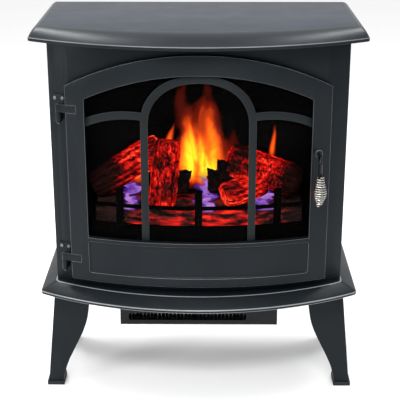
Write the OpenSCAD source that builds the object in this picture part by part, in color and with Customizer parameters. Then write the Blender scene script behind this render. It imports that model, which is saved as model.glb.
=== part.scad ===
// Freestanding electric stove heater: bow-fronted cabinet on four legs, arched door with
// a glazed grille, log-effect firebox with a turning flame reflector, and a fan heater
// in a box under the base. Front faces -Y, +Z is up, the floor is z = 0.

/* [Overall size] */
// Width over the top and over the base
overall_w = 510; // [430:1:620]
// Depth from the middle of the bow to the back edge
overall_d = 300; // [270:1:370]
// Height from the floor to the top
overall_h = 610; // [560:1:740]
// How far the middle of the front stands ahead of its corners
bow_depth = 72; // [55:1:90]

/* [Top and base] */
// Thickness of the moulded top
top_t = 20; // [16:1:30]
// Width of the top's bevel at the sides
top_bevel_side = 16; // [10:1:22]
// Width of the top's bevel at the middle of the front
top_bevel_front = 45; // [30:1:50]
// Thickness of the base slab
base_t = 18; // [14:1:26]
// Width of the base's bevel all round
base_bevel = 24; // [16:1:25]
// Height of the upright lip on the edge of the top and the base
lip_t = 5; // [3:0.5:8]
// Wall of the moulded top and base
shell_t = 3; // [2:0.5:4]
// Radius of the slabs' front corners
corner_r = 9; // [4:1:14]

/* [Cabinet] */
// How far the top and base stand out beyond the cabinet's sides
side_overhang = 25; // [25:1:34]
// How far the cabinet's front stands behind the slabs' front
front_setback = 46; // [40:1:50]
// How far the back panel stands ahead of the slabs' back edge
back_setback = 8; // [4:1:16]
// How far the cabinet's front bows
cabinet_bow = 50; // [36:1:60]
// Sheet thickness of the cabinet panels
sheet_t = 1.5; // [1:0.1:2]
// Width of the folded flanges on the side panels
flange_w = 14; // [10:1:16]

/* [Legs] */
// Height of the base's underside above the floor
leg_h = 177; // [150:1:220]
// Width of a leg where it meets the base
leg_top_w = 59; // [50:1:66]
// Width of a leg at its foot
leg_foot_w = 24.5; // [20:0.5:30]
// Depth of a leg from front to back
leg_d = 32; // [26:1:44]
// How far the legs splay outwards from top to foot
leg_splay = 18; // [8:1:22]
// Wall of the cast legs
leg_wall = 3.5; // [2.5:0.5:5]
// Front face of the front legs, behind the middle of the bow
leg_front_inset = 92; // [84:1:110]
// Back face of the rear legs, ahead of the slabs' back edge
leg_back_inset = 28; // [15:1:50]
// Height of the rubber foot caps
foot_cap_h = 7; // [5:1:12]
// Diameter of the bolts that hold the legs
leg_bolt_d = 6; // [5:1:8]

/* [Door] */
// Distance from the door's edge to the cabinet's corner
door_side_gap = 28; // [24:1:36]
// Height of the door's lower edge above the base
door_foot_gap = 13; // [8:1:20]
// Distance from the door's crown to the underside of the top
door_crown_gap = 13.3; // [8:0.1:24]
// Rise of the door's arched top edge
door_rise = 54; // [40:1:66]
// Thickness of the door frame
door_t = 13.5; // [12:0.5:18]
// Gap between the door and the cabinet's front
door_gap = 2.5; // [2:0.1:4]
// Width of the door's upright stiles
stile_w = 29; // [27:1:36]
// Width of the door's arched band
arch_band_w = 30; // [26:1:38]
// Height of the door's solid lower rail
rail_h = 73; // [66:1:84]
// Depth of the face above the grille
reveal_d = 8; // [5:0.5:9]
// How far the glass and the grille reach behind the frame
glass_lap = 5; // [3:0.5:6]
// Thickness of the glass
glass_t = 3.5; // [3:0.5:4.5]
// Depth of the pressed panel in the lower rail
panel_depth = 3; // [1:0.5:4]
// Margin round the pressed panel
panel_margin = 14; // [10:1:18]

/* [Grille] */
// Distance from the middle of the window to each upright bar
bar_x = 82; // [65:1:100]
// Width of the grille's bars
bar_w = 11.5; // [8:0.5:15]
// Thickness of the grille
grille_t = 2; // [1.5:0.5:3]
// Rise of the grille's middle arch
arch_rise = 79; // [60:1:92]
// Radius of the side arches' upper edge
side_arch_r = 158; // [140:1:200]
// Distance of the side arches' crown from the middle
side_arch_x = 105; // [96:1:120]
// Distance from the window's crown to the crown of the side arches
side_arch_drop = 58.7; // [45:1:75]

/* [Hinges] */
// Distance from the door's edge to the hinge axis
hinge_offset = 12; // [11:0.5:14]
// Distance of the hinge axis ahead of the cabinet's front
hinge_stand = 12; // [11:0.5:13]
// Diameter of the hinge pins
hinge_pin_d = 4; // [3:0.5:5]
// Radius of the hinge knuckles
knuckle_r = 4.5; // [4:0.5:5]
// Height of the door's hinge arms
hinge_arm_h = 12; // [10:1:16]
// Height of the cabinet's hinge barrels
hinge_barrel_h = 17; // [12:1:22]
// Height of the lower hinge arm above the door's lower edge
lower_hinge_z = 29; // [24:1:50]
// Depth of the upper hinge arm below the crown of the door
upper_hinge_drop = 95.7; // [88:0.1:130]

/* [Handle] */
// Distance of the handle's shaft from the door's closing edge
handle_inset = 18; // [16:0.5:19]
// Depth of the handle's shaft below the crown of the door
handle_drop = 157.7; // [140:0.1:180]
// Diameter of the handle rod
handle_rod_d = 6; // [5:0.5:7]
// How far the grip's axis stands ahead of the door
handle_stand = 30; // [24:1:36]
// Length of the coiled grip
grip_len = 49; // [40:1:60]
// Largest diameter of the coiled grip
grip_d = 22; // [18:0.5:26]
// Thickness of the grip's wire
grip_wire = 3; // [2.5:0.1:3.6]
// Length of the locking cam from the shaft's axis
cam_len = 18; // [16:1:20]

/* [Controls] */
// Half the width of the control recess
control_half = 125; // [118:1:132]
// Height of the control recess
control_h = 50; // [46:1:52]
// Depth of the control plate behind the cabinet's front, at its middle
control_depth = 30; // [26:1:36]
// Diameter of the control knobs
knob_d = 26; // [20:1:30]
// Height of the control knobs
knob_h = 10; // [8:0.5:11]
// Diameter of the knob spindles
spindle_d = 6; // [5:0.5:7]
// Distance of each knob from the middle
knob_x = 78; // [68:1:88]
// Spacing of the rocker switches
switch_pitch = 24; // [20:1:27]
// Width of a rocker
rocker_w = 11; // [9:0.5:13]
// Radius of a rocker's round back
rocker_r = 8; // [7:0.5:9]

/* [Firebox] */
// How far the liner's sides stand beyond the opening behind the window
liner_side = 14; // [10:0.5:19]
// Depth of the liner's back wall behind the middle of the cabinet's front
liner_depth = 164; // [150:1:175]
// Depth of the flame screen behind the middle of the cabinet's front
screen_depth = 112; // [105:1:118]
// Height of the log tray above the liner's floor
tray_h = 27; // [20:1:32]
// Half the width of the ember bed
bed_half = 165; // [140:1:170]
// Height of the ember bed
bed_h = 28; // [20:1:32]
// Radius of the flame reflector
rotor_r = 14; // [10:1:16]
// Length of the flame reflector
rotor_len = 300; // [240:1:320]
// Diameter of the flame reflector's shaft
rotor_shaft_d = 4; // [3:0.5:5]

/* [Heater] */
// Half the width of the heater box
heater_half = 129; // [122:1:140]
// Height of the heater box below the base
heater_drop = 63; // [56:1:70]
// Depth of the heater box from front to back
heater_d = 130; // [120:1:150]
// Distance of the heater box behind the middle of the bow
heater_inset = 90; // [84:1:100]
// Left end of the outlet slot
slot_left = 115; // [108:1:118]
// Right end of the outlet slot
slot_right = 78; // [70:1:84]
// Height of the outlet slot
slot_h = 12; // [10:0.5:16]
// Height of the slot above the heater box's underside
slot_rise = 8; // [6:0.5:12]
// Diameter of the blower wheel
wheel_d = 44; // [38:1:46]
// Length of the blower wheel
wheel_len = 168; // [140:1:172]
// Diameter of the blower shaft
blower_shaft_d = 5; // [4:0.5:6]

/* [Hidden] */

// Running clearance of a shaft in its bore, and clearance round loose parts
run_gap = 0.05;
free_gap = 0.4;
// Overshoot of a cut beyond the face it opens
over = 1;

body_colour = [0.17, 0.18, 0.20];
grille_colour = [0.27, 0.28, 0.28];
black = [0.08, 0.08, 0.09];

// Radius of an arc from half its chord and its rise
function arc_r(half, rise) = (half * half + rise * rise) / (2 * rise);
// Smooth step from 0 to 1
function ease(t) = t <= 0 ? 0 : t >= 1 ? 1 : t * t * (3 - 2 * t);

// Main levels and outlines
front_y = -overall_d / 2;
back_y = overall_d / 2;
slab_half = overall_w / 2;
base_z = leg_h;
base_top_z = base_z + base_t;
top_z = overall_h - top_t;
cab_half = slab_half - side_overhang;
cab_front_y = front_y + front_setback;
cab_back_y = back_y - back_setback;
cab_r = arc_r(cab_half, cabinet_bow);
bow_cy = cab_front_y + cab_r;
function bow_y(r, x) = bow_cy - sqrt(r * r - x * x);
function bow_angle(r, x) = asin(x / r);

// Door radii from the back to the face, measured from the bow's centre
door_back_r = cab_r + door_gap;
door_r = door_back_r + door_t;
grille_r = door_r - reveal_d;
glass_r = grille_r - grille_t;
glass_back_r = glass_r - glass_t;
// The clips lie on whichever stands further back, the door or its glass
clip_seat_r = min(door_back_r, glass_back_r);
door_half = cab_half - door_side_gap;
door_z = base_top_z + door_foot_gap;
crown_z = top_z - door_crown_gap;
door_arch_r = arc_r(door_half, door_rise);
arch_cz = crown_z - door_arch_r;
win_half = door_half - stile_w;
win_z = door_z + rail_h;
win_arch_r = door_arch_r - arch_band_w;
win_crown_z = crown_z - arch_band_w;

// Opening in the fascia behind the window
open_side = 20;
open_crown = 12;
open_foot = 11;
open_half = win_half + open_side;
liner_half = open_half + liner_side;
open_z = win_z - open_foot;
open_arch_r = win_arch_r + open_crown;

// Hinge axis
hinge_r = cab_r + hinge_stand;
hinge_x = -(door_half + hinge_offset);
hinge_y = bow_y(hinge_r, hinge_x);
upper_arm_z = crown_z - upper_hinge_drop;
lower_arm_z = door_z + lower_hinge_z;
arm_t = 3;
arm_reach = 16;
hinge_gap = 0.6;
hinge_plate_t = 1.5;
hinge_plate_w = 20;
hinge_plate_over = 24;

// Handle
handle_x = door_half - handle_inset;
handle_z = crown_z - handle_drop;
grip_y = bow_y(door_r, handle_x) - handle_stand;
rod_bend_r = 8;
cam_t = 3;
cam_w = 9;
cam_y = bow_y(cab_r - sheet_t, open_half + 8) + 1.7;
bush_d = 12;
bush_stand = 4;
grip_drop = 26;

// Controls
control_z = base_top_z + 17;
control_mid_z = control_z + control_h / 2;
plate_t = 2;
plate_y = cab_front_y + control_depth;
wall_t = 2;
rocker_stand = 3;
rocker_y = plate_y + plate_t + 2;
rocker_pin_d = 2;

// Firebox levels
liner_z = control_z + control_h + 6;
liner_t = 1.2;
liner_top_z = win_crown_z + open_crown + 4;
liner_back_y = cab_front_y + liner_depth;
floor_z = liner_z + liner_t;
tray_z = floor_z + tray_h;
screen_y = cab_front_y + screen_depth;
screen_t = 2;
bed_z = tray_z + bed_h;
bed_r = cab_r - 22;
tray_r = cab_r - 16;
rotor_y = (screen_y + screen_t + liner_back_y) / 2;
rotor_z = floor_z + rotor_r + 24;

// Heater box levels
heater_z = base_z - heater_drop;
heater_top_z = base_top_z - shell_t;
heater_y = front_y + heater_inset;
heater_t = 1.2;
slot_z = heater_z + slot_rise;
wheel_mid_x = (slot_right - slot_left) / 2;
wheel_y = heater_y + heater_d * 0.55;
wheel_z = heater_z + heater_t + wheel_d / 2 + 12;
element_y = heater_y + 12;
element_d = 16;

// Fasteners
screw_d = 3;
screw_head_d = 6;
screw_head_h = 1.5;
screw_len = 8;

// ---------- shared shapes ----------

// Outline of a slab with a bowed front and round front corners, anticlockwise from the left
bow_steps = 26;
fillet_steps = 4;
function slab_pts(half, y_front, rise, y_back, r) =
    let(R = arc_r(half, rise), cy = y_front + R, a = asin((half - r) / (R - r)),
        fy = cy - (R - r) * cos(a), n = fillet_steps)
    concat(
        [for (i = [0:n - 1]) [r - half - r * cos((90 - a) * i / n), fy - r * sin((90 - a) * i / n)]],
        [for (i = [0:bow_steps]) let(t = -a + 2 * a * i / bow_steps) [R * sin(t), cy - R * cos(t)]],
        [for (i = [n - 1:-1:0]) [half - r + r * cos((90 - a) * i / n), fy - r * sin((90 - a) * i / n)]],
        [[half, y_back], [-half, y_back]]);
// Closed skin through a stack of outlines with the same number of points
module loft(rings, levels) {
    n = len(rings[0]);
    m = len(rings);
    polyhedron(
        points = [for (k = [0:m - 1], p = rings[k]) [p[0], p[1], levels[k]]],
        faces = concat(
            [[for (i = [0:n - 1]) i]],
            [for (k = [0:m - 2], i = [0:n - 1]) let(j = (i + 1) % n) [k * n + j, k * n + i, (k + 1) * n + i]],
            [for (k = [0:m - 2], i = [0:n - 1]) let(j = (i + 1) % n) [k * n + j, (k + 1) * n + i, (k + 1) * n + j]],
            [[for (i = [n - 1:-1:0]) (m - 1) * n + i]]));
}

// Ring between two radii about the bow's centre
module bow_shell(r_out, r_in, z0, z1) {
    translate([0, bow_cy, z0]) linear_extrude(z1 - z0) difference() {
        circle(r_out, $fn = 360);
        circle(r_in, $fn = 360);
    }
}
// Extrudes an outline drawn in X and Z through the cabinet's front
module through_front() {
    reach = 60;
    translate([0, cab_front_y + cabinet_bow + reach, 0]) rotate([90, 0, 0])
        linear_extrude(cabinet_bow + 2 * reach) children();
}
// Turns its children so that -Y points out of the bow at x
module at_bow(r, x) {
    translate([0, bow_cy, 0]) rotate([0, 0, bow_angle(r, x)]) children();
}
// Rod lying along -Y from y = from to y = to, in the turned frame of at_bow
module bow_rod(d, from, to, z) {
    translate([0, -from, z]) rotate([90, 0, 0]) cylinder(d = d, h = to - from, $fn = 48);
}
// Straight-sided outline with an arched top
module arched(half, z0, r) {
    intersection() {
        translate([-half, z0]) square([2 * half, arch_cz + r - z0]);
        translate([0, arch_cz]) circle(r, $fn = 360);
    }
}
module rounded_rect(x0, z0, w, h, r) {
    translate([x0 + r, z0]) square([w - 2 * r, h]);
    translate([x0, z0 + r]) square([w, h - 2 * r]);
    for (x = [x0 + r, x0 + w - r], z = [z0 + r, z0 + h - r])
        translate([x, z]) circle(r, $fn = 48);
}
module window_outline(grow) {
    arched(win_half + grow, win_z - grow, win_arch_r + grow);
}
module rod_x(d, x0, x1, y, z) {
    translate([x0, y, z]) rotate([0, 90, 0]) cylinder(d = d, h = x1 - x0, $fn = 48);
}
module rod_y(d, y0, y1, x, z) {
    translate([x, y1, z]) rotate([90, 0, 0]) cylinder(d = d, h = y1 - y0, $fn = 48);
}
module box(x0, x1, y0, y1, z0, z1) {
    translate([x0, y0, z0]) cube([x1 - x0, y1 - y0, z1 - z0]);
}

// ---------- top, base and cabinet ----------

// Plan of the cabinet, grown or shrunk
module cabinet_outline(grow) {
    intersection() {
        translate([0, bow_cy]) circle(cab_r + grow, $fn = 360);
        translate([-cab_half - grow, cab_front_y - grow])
            square([2 * (cab_half + grow), cab_back_y - cab_front_y + 2 * grow]);
    }
}

// Moulded slabs: an upright lip below and a bevelled shoulder above, shrunk all round by inset
module top_form(inset, foot) {
    half = slab_half - inset;
    y0 = front_y + inset;
    y1 = back_y - inset;
    lip = slab_pts(half, y0, bow_depth, y1, corner_r);
    shoulder = slab_pts(half - top_bevel_side / 3, y0 + top_bevel_front / 4, bow_depth - 6, y1, corner_r);
    face = slab_pts(half - top_bevel_side, y0 + top_bevel_front, cabinet_bow, y1, corner_r);
    lip_z = top_z + lip_t - inset / 2;
    loft([lip, lip, shoulder, face], [top_z - foot, lip_z, lip_z + (top_t - lip_t) * 0.55, overall_h - inset]);
}
module base_form(inset, foot) {
    half = slab_half - inset;
    y0 = front_y + inset;
    y1 = back_y - inset;
    lip = slab_pts(half, y0, bow_depth, y1, corner_r);
    face = slab_pts(half - base_bevel, y0 + base_bevel, bow_depth * 0.84, y1, corner_r);
    loft([lip, lip, face], [base_z - foot, base_z + lip_t - inset / 2, base_top_z - inset]);
}

module top_plate() color(body_colour) {
    // The ring is where the cabinet's panels stand
    seat_w = 12;
    difference() {
        top_form(0, 0);
        top_form(shell_t, over);
    }
    intersection() {
        top_form(0, 0);
        translate([0, 0, top_z]) linear_extrude(top_t) difference() {
            cabinet_outline(2);
            cabinet_outline(-seat_w);
        }
    }
}

leg_boss_d = leg_d + 6;
// Middle of each leg in Y, front then rear
leg_mid_y = [front_y + leg_front_inset + leg_d / 2, back_y - leg_back_inset - leg_d / 2];
foot_out_x = slab_half - 2;
leg_out_x = foot_out_x - leg_splay;
leg_in_x = leg_out_x - leg_top_w;
bolt_x = [leg_in_x + 0.3 * leg_top_w, leg_in_x + 0.75 * leg_top_w];

module base_plate() color(body_colour) {
    duct_d = 56;
    difference() {
        union() {
            difference() {
                base_form(0, 0);
                base_form(shell_t, over);
            }
            intersection() {
                base_form(0, 0);
                for (s = [-1, 1], y = leg_mid_y)
                    translate([s * (leg_in_x + leg_out_x) / 2, y, base_z + base_t / 2])
                        cube([leg_top_w + 6, leg_boss_d, base_t + 2 * over], center = true);
            }
        }
        box(-slot_left, slot_right, heater_y + heater_d - heater_t - duct_d, heater_y + heater_d - heater_t,
            base_z - over, base_top_z + over);
        for (s = [-1, 1], y = leg_mid_y, x = bolt_x)
            translate([s * x, y, base_z - over]) cylinder(d = leg_bolt_d, h = base_t - shell_t + over, $fn = 48);
    }
}

module side_panel() {
    // Outer sheet, front flange behind the fascia and rear flange behind the back panel
    y0 = bow_y(cab_r - sheet_t, cab_half) + 0.5;
    box(cab_half - sheet_t, cab_half, y0, cab_back_y - sheet_t, base_top_z, top_z);
    intersection() {
        bow_shell(cab_r - sheet_t, cab_r - 2 * sheet_t, base_top_z, top_z);
        box(cab_half - flange_w, cab_half - sheet_t / 2, front_y, 0, base_top_z, top_z);
    }
    box(cab_half - flange_w, cab_half, cab_back_y - 2 * sheet_t, cab_back_y - sheet_t, base_top_z, top_z);
}
module side_panel_left() color(body_colour) mirror([1, 0, 0]) side_panel();
module side_panel_right() color(body_colour) side_panel();

magnet_d = 10;
magnet_x = control_half + 35;
module front_fascia() color(body_colour) {
    difference() {
        intersection() {
            bow_shell(cab_r, cab_r - sheet_t, base_top_z, top_z);
            box(-cab_half, cab_half, front_y, 0, base_top_z, top_z);
        }
        through_front() {
            arched(open_half, open_z, open_arch_r);
            rounded_rect(-control_half, control_z, 2 * control_half, control_h, 4);
        }
        at_bow(cab_r, magnet_x) bow_rod(magnet_d, cab_r - 20, cab_r + 2, control_mid_z);
        for (z = hinge_screw_z, x = hinge_screw_x)
            at_bow(cab_r, x) bow_rod(screw_d, cab_r - 20, cab_r + 2, z);
    }
}

vent_rows = 9;
vent_pitch = 12;
vent_w = 74;
vent_h = 4;
gland_x = -cab_half + 60;
gland_z = base_top_z + 32;
gland_d = 16;
back_screw_x = cab_half - flange_w / 2;
back_screw_z = [base_top_z + 20, (base_top_z + top_z) / 2, top_z - 20];
module back_panel() color(black) {
    difference() {
        box(-cab_half, cab_half, cab_back_y - sheet_t, cab_back_y, base_top_z, top_z);
        for (x = [-100, 0, 100], i = [0:vent_rows - 1], z = [base_top_z + 60, top_z - 60 - vent_rows * vent_pitch])
            translate([x - vent_w / 2, cab_back_y - sheet_t - over, z + i * vent_pitch])
                cube([vent_w, sheet_t + 2 * over, vent_h]);
        rod_y(gland_d, cab_back_y - 10, cab_back_y + 10, gland_x, gland_z);
        for (s = [-1, 1], z = back_screw_z)
            rod_y(screw_d, cab_back_y - 10, cab_back_y + 10, s * back_screw_x, z);
    }
}

// ---------- legs ----------

// Leg seen from the front, outer edge splayed, inner edge in a long S
leg_steps = 20;
function leg_inner_x(z) =
    let(run = leg_in_x - (foot_out_x - leg_foot_w), drop = 1 - z / leg_h)
    leg_in_x - run * (0.48 * drop + 0.52 * ease((drop - 0.26) / 0.66));
module leg_outline(inset, z0, z1) {
    polygon(concat(
        [[foot_out_x - leg_splay * z0 / leg_h - inset, z0], [foot_out_x - leg_splay * z1 / leg_h - inset, z1]],
        [for (i = [0:leg_steps]) let(z = z1 + (z0 - z1) * i / leg_steps) [leg_inner_x(z), z]]));
}
module leg(y_mid, face) {
    // face is -1 where the closed face looks forward, 1 where it looks back
    flange = 5;
    difference() {
        translate([0, y_mid + leg_d / 2, 0]) rotate([90, 0, 0])
            linear_extrude(leg_d) leg_outline(0, foot_cap_h - 4, leg_h);
        translate([0, y_mid + leg_d / 2 - face * leg_wall, 0]) rotate([90, 0, 0]) linear_extrude(leg_d)
            difference() {
                translate([0, foot_cap_h + flange])
                    square([foot_out_x, leg_h - foot_cap_h - 2 * flange]);
                translate([foot_out_x - leg_wall, 0])
                    polygon([[0, 0], [2 * leg_splay, 0], [2 * leg_splay, leg_h], [-leg_splay, leg_h]]);
            }
        for (x = bolt_x)
            translate([x, y_mid, leg_h - 3 * flange]) cylinder(d = leg_bolt_d, h = 4 * flange, $fn = 48);
    }
}
module leg_front_left() color(body_colour) mirror([1, 0, 0]) leg(leg_mid_y[0], -1);
module leg_front_right() color(body_colour) leg(leg_mid_y[0], -1);
module leg_rear_left() color(body_colour) mirror([1, 0, 0]) leg(leg_mid_y[1], 1);
module leg_rear_right() color(body_colour) leg(leg_mid_y[1], 1);

module foot_cap(y_mid) {
    cap_wall = 2;
    x0 = foot_out_x - leg_foot_w - cap_wall;
    difference() {
        box(x0, foot_out_x + cap_wall, y_mid - leg_d / 2 - cap_wall, y_mid + leg_d / 2 + cap_wall, 0, foot_cap_h);
        translate([0, y_mid + leg_d / 2, 0]) rotate([90, 0, 0])
            linear_extrude(leg_d) leg_outline(0, foot_cap_h - 4, leg_h);
    }
}
module foot_caps() color(black)
    for (y = leg_mid_y) {
        foot_cap(y);
        mirror([1, 0, 0]) foot_cap(y);
    }
module leg_bolts() color("silver")
    for (s = [-1, 1], y = leg_mid_y, x = bolt_x)
        translate([s * x, y, 0]) {
            flange = 5;
            head_h = 4;
            translate([0, 0, leg_h - flange - head_h]) cylinder(d = leg_bolt_d * 1.8, h = head_h, $fn = 6);
            translate([0, 0, leg_h - flange]) cylinder(d = leg_bolt_d, h = flange + base_t - shell_t - 1, $fn = 48);
        }

// ---------- door ----------

clip_w = 22;
clip_h = 14;
clip_t = 1.2;
clip_screw_x = win_half + 11;
clip_side_z = [win_z + 40, win_z + 172];
clip_foot_x = 100;
clip_foot_z = win_z - glass_lap - 3;
module strike_seat(d, t) {
    at_bow(cab_r, magnet_x) bow_rod(d, door_back_r - over, door_back_r + t, control_mid_z);
}
module arm_strap(z) {
    intersection() {
        bow_shell(door_r, door_r - arm_t, z, z + hinge_arm_h);
        box(hinge_x, -door_half + arm_reach, front_y, 0, z, z + hinge_arm_h);
    }
}
module clip_screw_holes(from, to) {
    for (s = [-1, 1], z = clip_side_z) at_bow(door_back_r, s * clip_screw_x) bow_rod(screw_d, from, to, z);
    for (s = [-1, 1]) at_bow(door_back_r, s * clip_foot_x) bow_rod(screw_d, from, to, clip_foot_z);
}
module door_frame() color(body_colour) {
    difference() {
        intersection() {
            through_front() arched(door_half, door_z, door_arch_r);
            bow_shell(door_r, door_back_r, door_z - over, crown_z + over);
        }
        through_front() window_outline(0);
        intersection() {
            through_front() window_outline(glass_lap);
            bow_shell(grille_r, door_back_r - 3, door_z, crown_z);
        }
        intersection() {
            through_front() rounded_rect(-win_half, door_z + panel_margin, 2 * win_half,
                rail_h - 1.5 * panel_margin + 1, 5);
            bow_shell(door_r + 3, door_r - panel_depth, door_z, win_z);
        }
        for (z = [upper_arm_z, lower_arm_z]) arm_strap(z);
        rod_y(bush_d, front_y, 0, handle_x, handle_z);
        strike_seat(magnet_d + 4, 1);
        clip_screw_holes(door_back_r - over, door_back_r + screw_len);
    }
}
module grille_shape() {
    spring_z = win_crown_z - 1.7 - arch_rise;
    arch_pow = 2 / 2.2;
    outer = bar_x + bar_w / 2;
    n = 36;
    difference() {
        polygon(concat([[outer, win_z - glass_lap]],
            [for (i = [0:n]) let(a = 180 * i / n) [outer * sign(cos(a)) * pow(abs(cos(a)), arch_pow),
                spring_z + arch_rise * pow(sin(a), arch_pow)]], [[-outer, win_z - glass_lap]]));
        polygon(concat([[outer - bar_w, win_z - glass_lap - over]],
            [for (i = [0:n]) let(a = 180 * i / n) [(outer - bar_w) * sign(cos(a)) * pow(abs(cos(a)), arch_pow),
                spring_z + (arch_rise - bar_w) * pow(sin(a), arch_pow)]],
            [[bar_w - outer, win_z - glass_lap - over]]));
    }
    side_z = win_crown_z - side_arch_drop - side_arch_r;
    for (s = [-1, 1]) intersection() {
        translate([s * side_arch_x, side_z]) difference() {
            circle(side_arch_r, $fn = 180);
            circle(side_arch_r - bar_w - 0.5, $fn = 180);
        }
        translate([s > 0 ? bar_x : -overall_w, side_z]) square([overall_w - bar_x, overall_h]);
    }
}
module door_grille() color(grille_colour)
    intersection() {
        through_front() intersection() {
            grille_shape();
            window_outline(glass_lap);
        }
        bow_shell(grille_r, glass_r, door_z, crown_z);
    }
module door_glass() color([0.5, 0.55, 0.6, 0.35])
    intersection() {
        through_front() window_outline(glass_lap);
        bow_shell(glass_r, glass_r - glass_t, door_z, crown_z);
    }
module clip_plan() {
    for (s = [-1, 1], z = clip_side_z)
        translate([s * (clip_screw_x - clip_w / 2 + 5), z]) square([clip_w, clip_h], center = true);
    for (s = [-1, 1])
        translate([s * clip_foot_x, clip_foot_z + 3]) square([clip_h, clip_w - 8], center = true);
}
module glass_clips() color("silver")
    difference() {
        union() {
            intersection() {
                through_front() clip_plan();
                bow_shell(clip_seat_r, clip_seat_r - clip_t, door_z, crown_z);
            }
            // A step up to the glass or to the door, where one stands in front of the other
            if (glass_back_r > clip_seat_r + 0.01) intersection() {
                through_front() intersection() {
                    clip_plan();
                    window_outline(glass_lap);
                }
                bow_shell(glass_back_r, clip_seat_r - clip_t / 2, door_z, crown_z);
            }
            if (door_back_r > clip_seat_r + 0.01) intersection() {
                through_front() difference() {
                    clip_plan();
                    window_outline(glass_lap + free_gap);
                }
                bow_shell(door_back_r, clip_seat_r - clip_t / 2, door_z, crown_z);
            }
        }
        clip_screw_holes(clip_seat_r - 2 * clip_t, door_back_r + over);
    }
module screw_at(x, z, seat_r, dir, len) {
    // Pan-head screw whose head lies on radius seat_r, shank running outwards (1) or inwards (-1)
    at_bow(seat_r, x) {
        if (dir > 0) {
            bow_rod(screw_head_d, seat_r - screw_head_h, seat_r, z);
            bow_rod(screw_d, seat_r, seat_r + len, z);
        } else {
            bow_rod(screw_head_d, seat_r, seat_r + screw_head_h, z);
            bow_rod(screw_d, seat_r - len, seat_r, z);
        }
    }
}
module clip_screws() color("silver") {
    seat = clip_seat_r - clip_t;
    turned = seat / door_back_r;
    for (s = [-1, 1], z = clip_side_z) screw_at(s * clip_screw_x * turned, z, seat, 1, screw_len);
    for (s = [-1, 1]) screw_at(s * clip_foot_x * turned, clip_foot_z, seat, 1, screw_len);
}

// ---------- hinges ----------

hinge_screw_x = [hinge_x - 5, hinge_x + 7];
hinge_screw_z = [for (z = [upper_arm_z, lower_arm_z]) z + hinge_arm_h + 6];
hinge_screw_len = hinge_plate_t + sheet_t;
module hinge_arm(z) {
    difference() {
        union() {
            arm_strap(z);
            translate([hinge_x, hinge_y, z]) cylinder(r = knuckle_r, h = hinge_arm_h, $fn = 64);
        }
        translate([hinge_x, hinge_y, z - over]) cylinder(d = hinge_pin_d, h = hinge_arm_h + 2 * over, $fn = 64);
    }
}
module hinge_arm_upper() color(body_colour) hinge_arm(upper_arm_z);
module hinge_arm_lower() color(body_colour) hinge_arm(lower_arm_z);

module hinge_bracket(z_arm) {
    z1 = z_arm - hinge_gap;
    z0 = z1 - hinge_barrel_h;
    web_t = 3.5;
    difference() {
        union() {
            intersection() {
                bow_shell(cab_r + hinge_plate_t, cab_r, z0 - 3, z_arm + hinge_plate_over);
                box(hinge_x - hinge_plate_w / 2, hinge_x + hinge_plate_w / 2, front_y, 0, z0 - 3,
                    z_arm + hinge_plate_over);
            }
            at_bow(hinge_r, hinge_x) box(-web_t / 2, web_t / 2, -hinge_r,
                -cab_r - hinge_plate_t / 2, z0 + 0.5, z1 - 0.5);
            translate([hinge_x, hinge_y, z0]) cylinder(r = knuckle_r - 0.3, h = hinge_barrel_h, $fn = 64);
        }
        translate([hinge_x, hinge_y, z0 - over])
            cylinder(d = hinge_pin_d + 2 * run_gap, h = hinge_barrel_h + 2 * over, $fn = 64);
        for (x = hinge_screw_x) at_bow(cab_r, x) bow_rod(screw_d, cab_r - over, cab_r + 2 * hinge_plate_t,
            z_arm + hinge_arm_h + 6);
    }
}
module hinge_bracket_upper() color(body_colour) hinge_bracket(upper_arm_z);
module hinge_bracket_lower() color(body_colour) hinge_bracket(lower_arm_z);
module hinge_pins() color("silver")
    for (z = [upper_arm_z, lower_arm_z])
        translate([hinge_x, hinge_y, z - hinge_gap - hinge_barrel_h - 2])
            cylinder(d = hinge_pin_d, h = hinge_barrel_h + hinge_gap + hinge_arm_h + 3, $fn = 64);

module cabinet_screws() color("silver") {
    seat = cab_r + hinge_plate_t;
    for (x = hinge_screw_x, z = hinge_screw_z) screw_at(x * seat / cab_r, z, seat, -1, hinge_screw_len);
    for (s = [-1, 1], z = back_screw_z) {
        rod_y(screw_head_d, cab_back_y, cab_back_y + screw_head_h, s * back_screw_x, z);
        rod_y(screw_d, cab_back_y - sheet_t, cab_back_y, s * back_screw_x, z);
    }
}

// ---------- handle and catch ----------

bush_y0 = bow_y(door_r, handle_x + bush_d / 2) - bush_stand;
bush_y1 = bow_y(door_back_r, handle_x);
module handle_bush() color(black)
    difference() {
        rod_y(bush_d, bush_y0, bush_y1, handle_x, handle_z);
        rod_y(handle_rod_d + 2 * run_gap, bush_y0 - over, bush_y1 + over, handle_x, handle_z);
    }
grip_top_z = handle_z - grip_drop;
module handle_rod() color(black) {
    // The bend is a hair thicker than the straight lengths that run into it
    lap = 0.3;
    bend_d = handle_rod_d + 0.1;
    rod_y(handle_rod_d, grip_y + rod_bend_r - lap, cam_y + cam_t + 1, handle_x, handle_z);
    translate([handle_x, grip_y + rod_bend_r, handle_z - rod_bend_r]) rotate([90, 0, -90])
        rotate_extrude(angle = 90, $fn = 96) translate([rod_bend_r, 0]) circle(d = bend_d, $fn = 48);
    translate([handle_x, grip_y, grip_top_z - grip_len + grip_wire])
        cylinder(d = handle_rod_d, h = handle_z - rod_bend_r - grip_top_z + grip_len - grip_wire + lap, $fn = 48);
}
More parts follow.
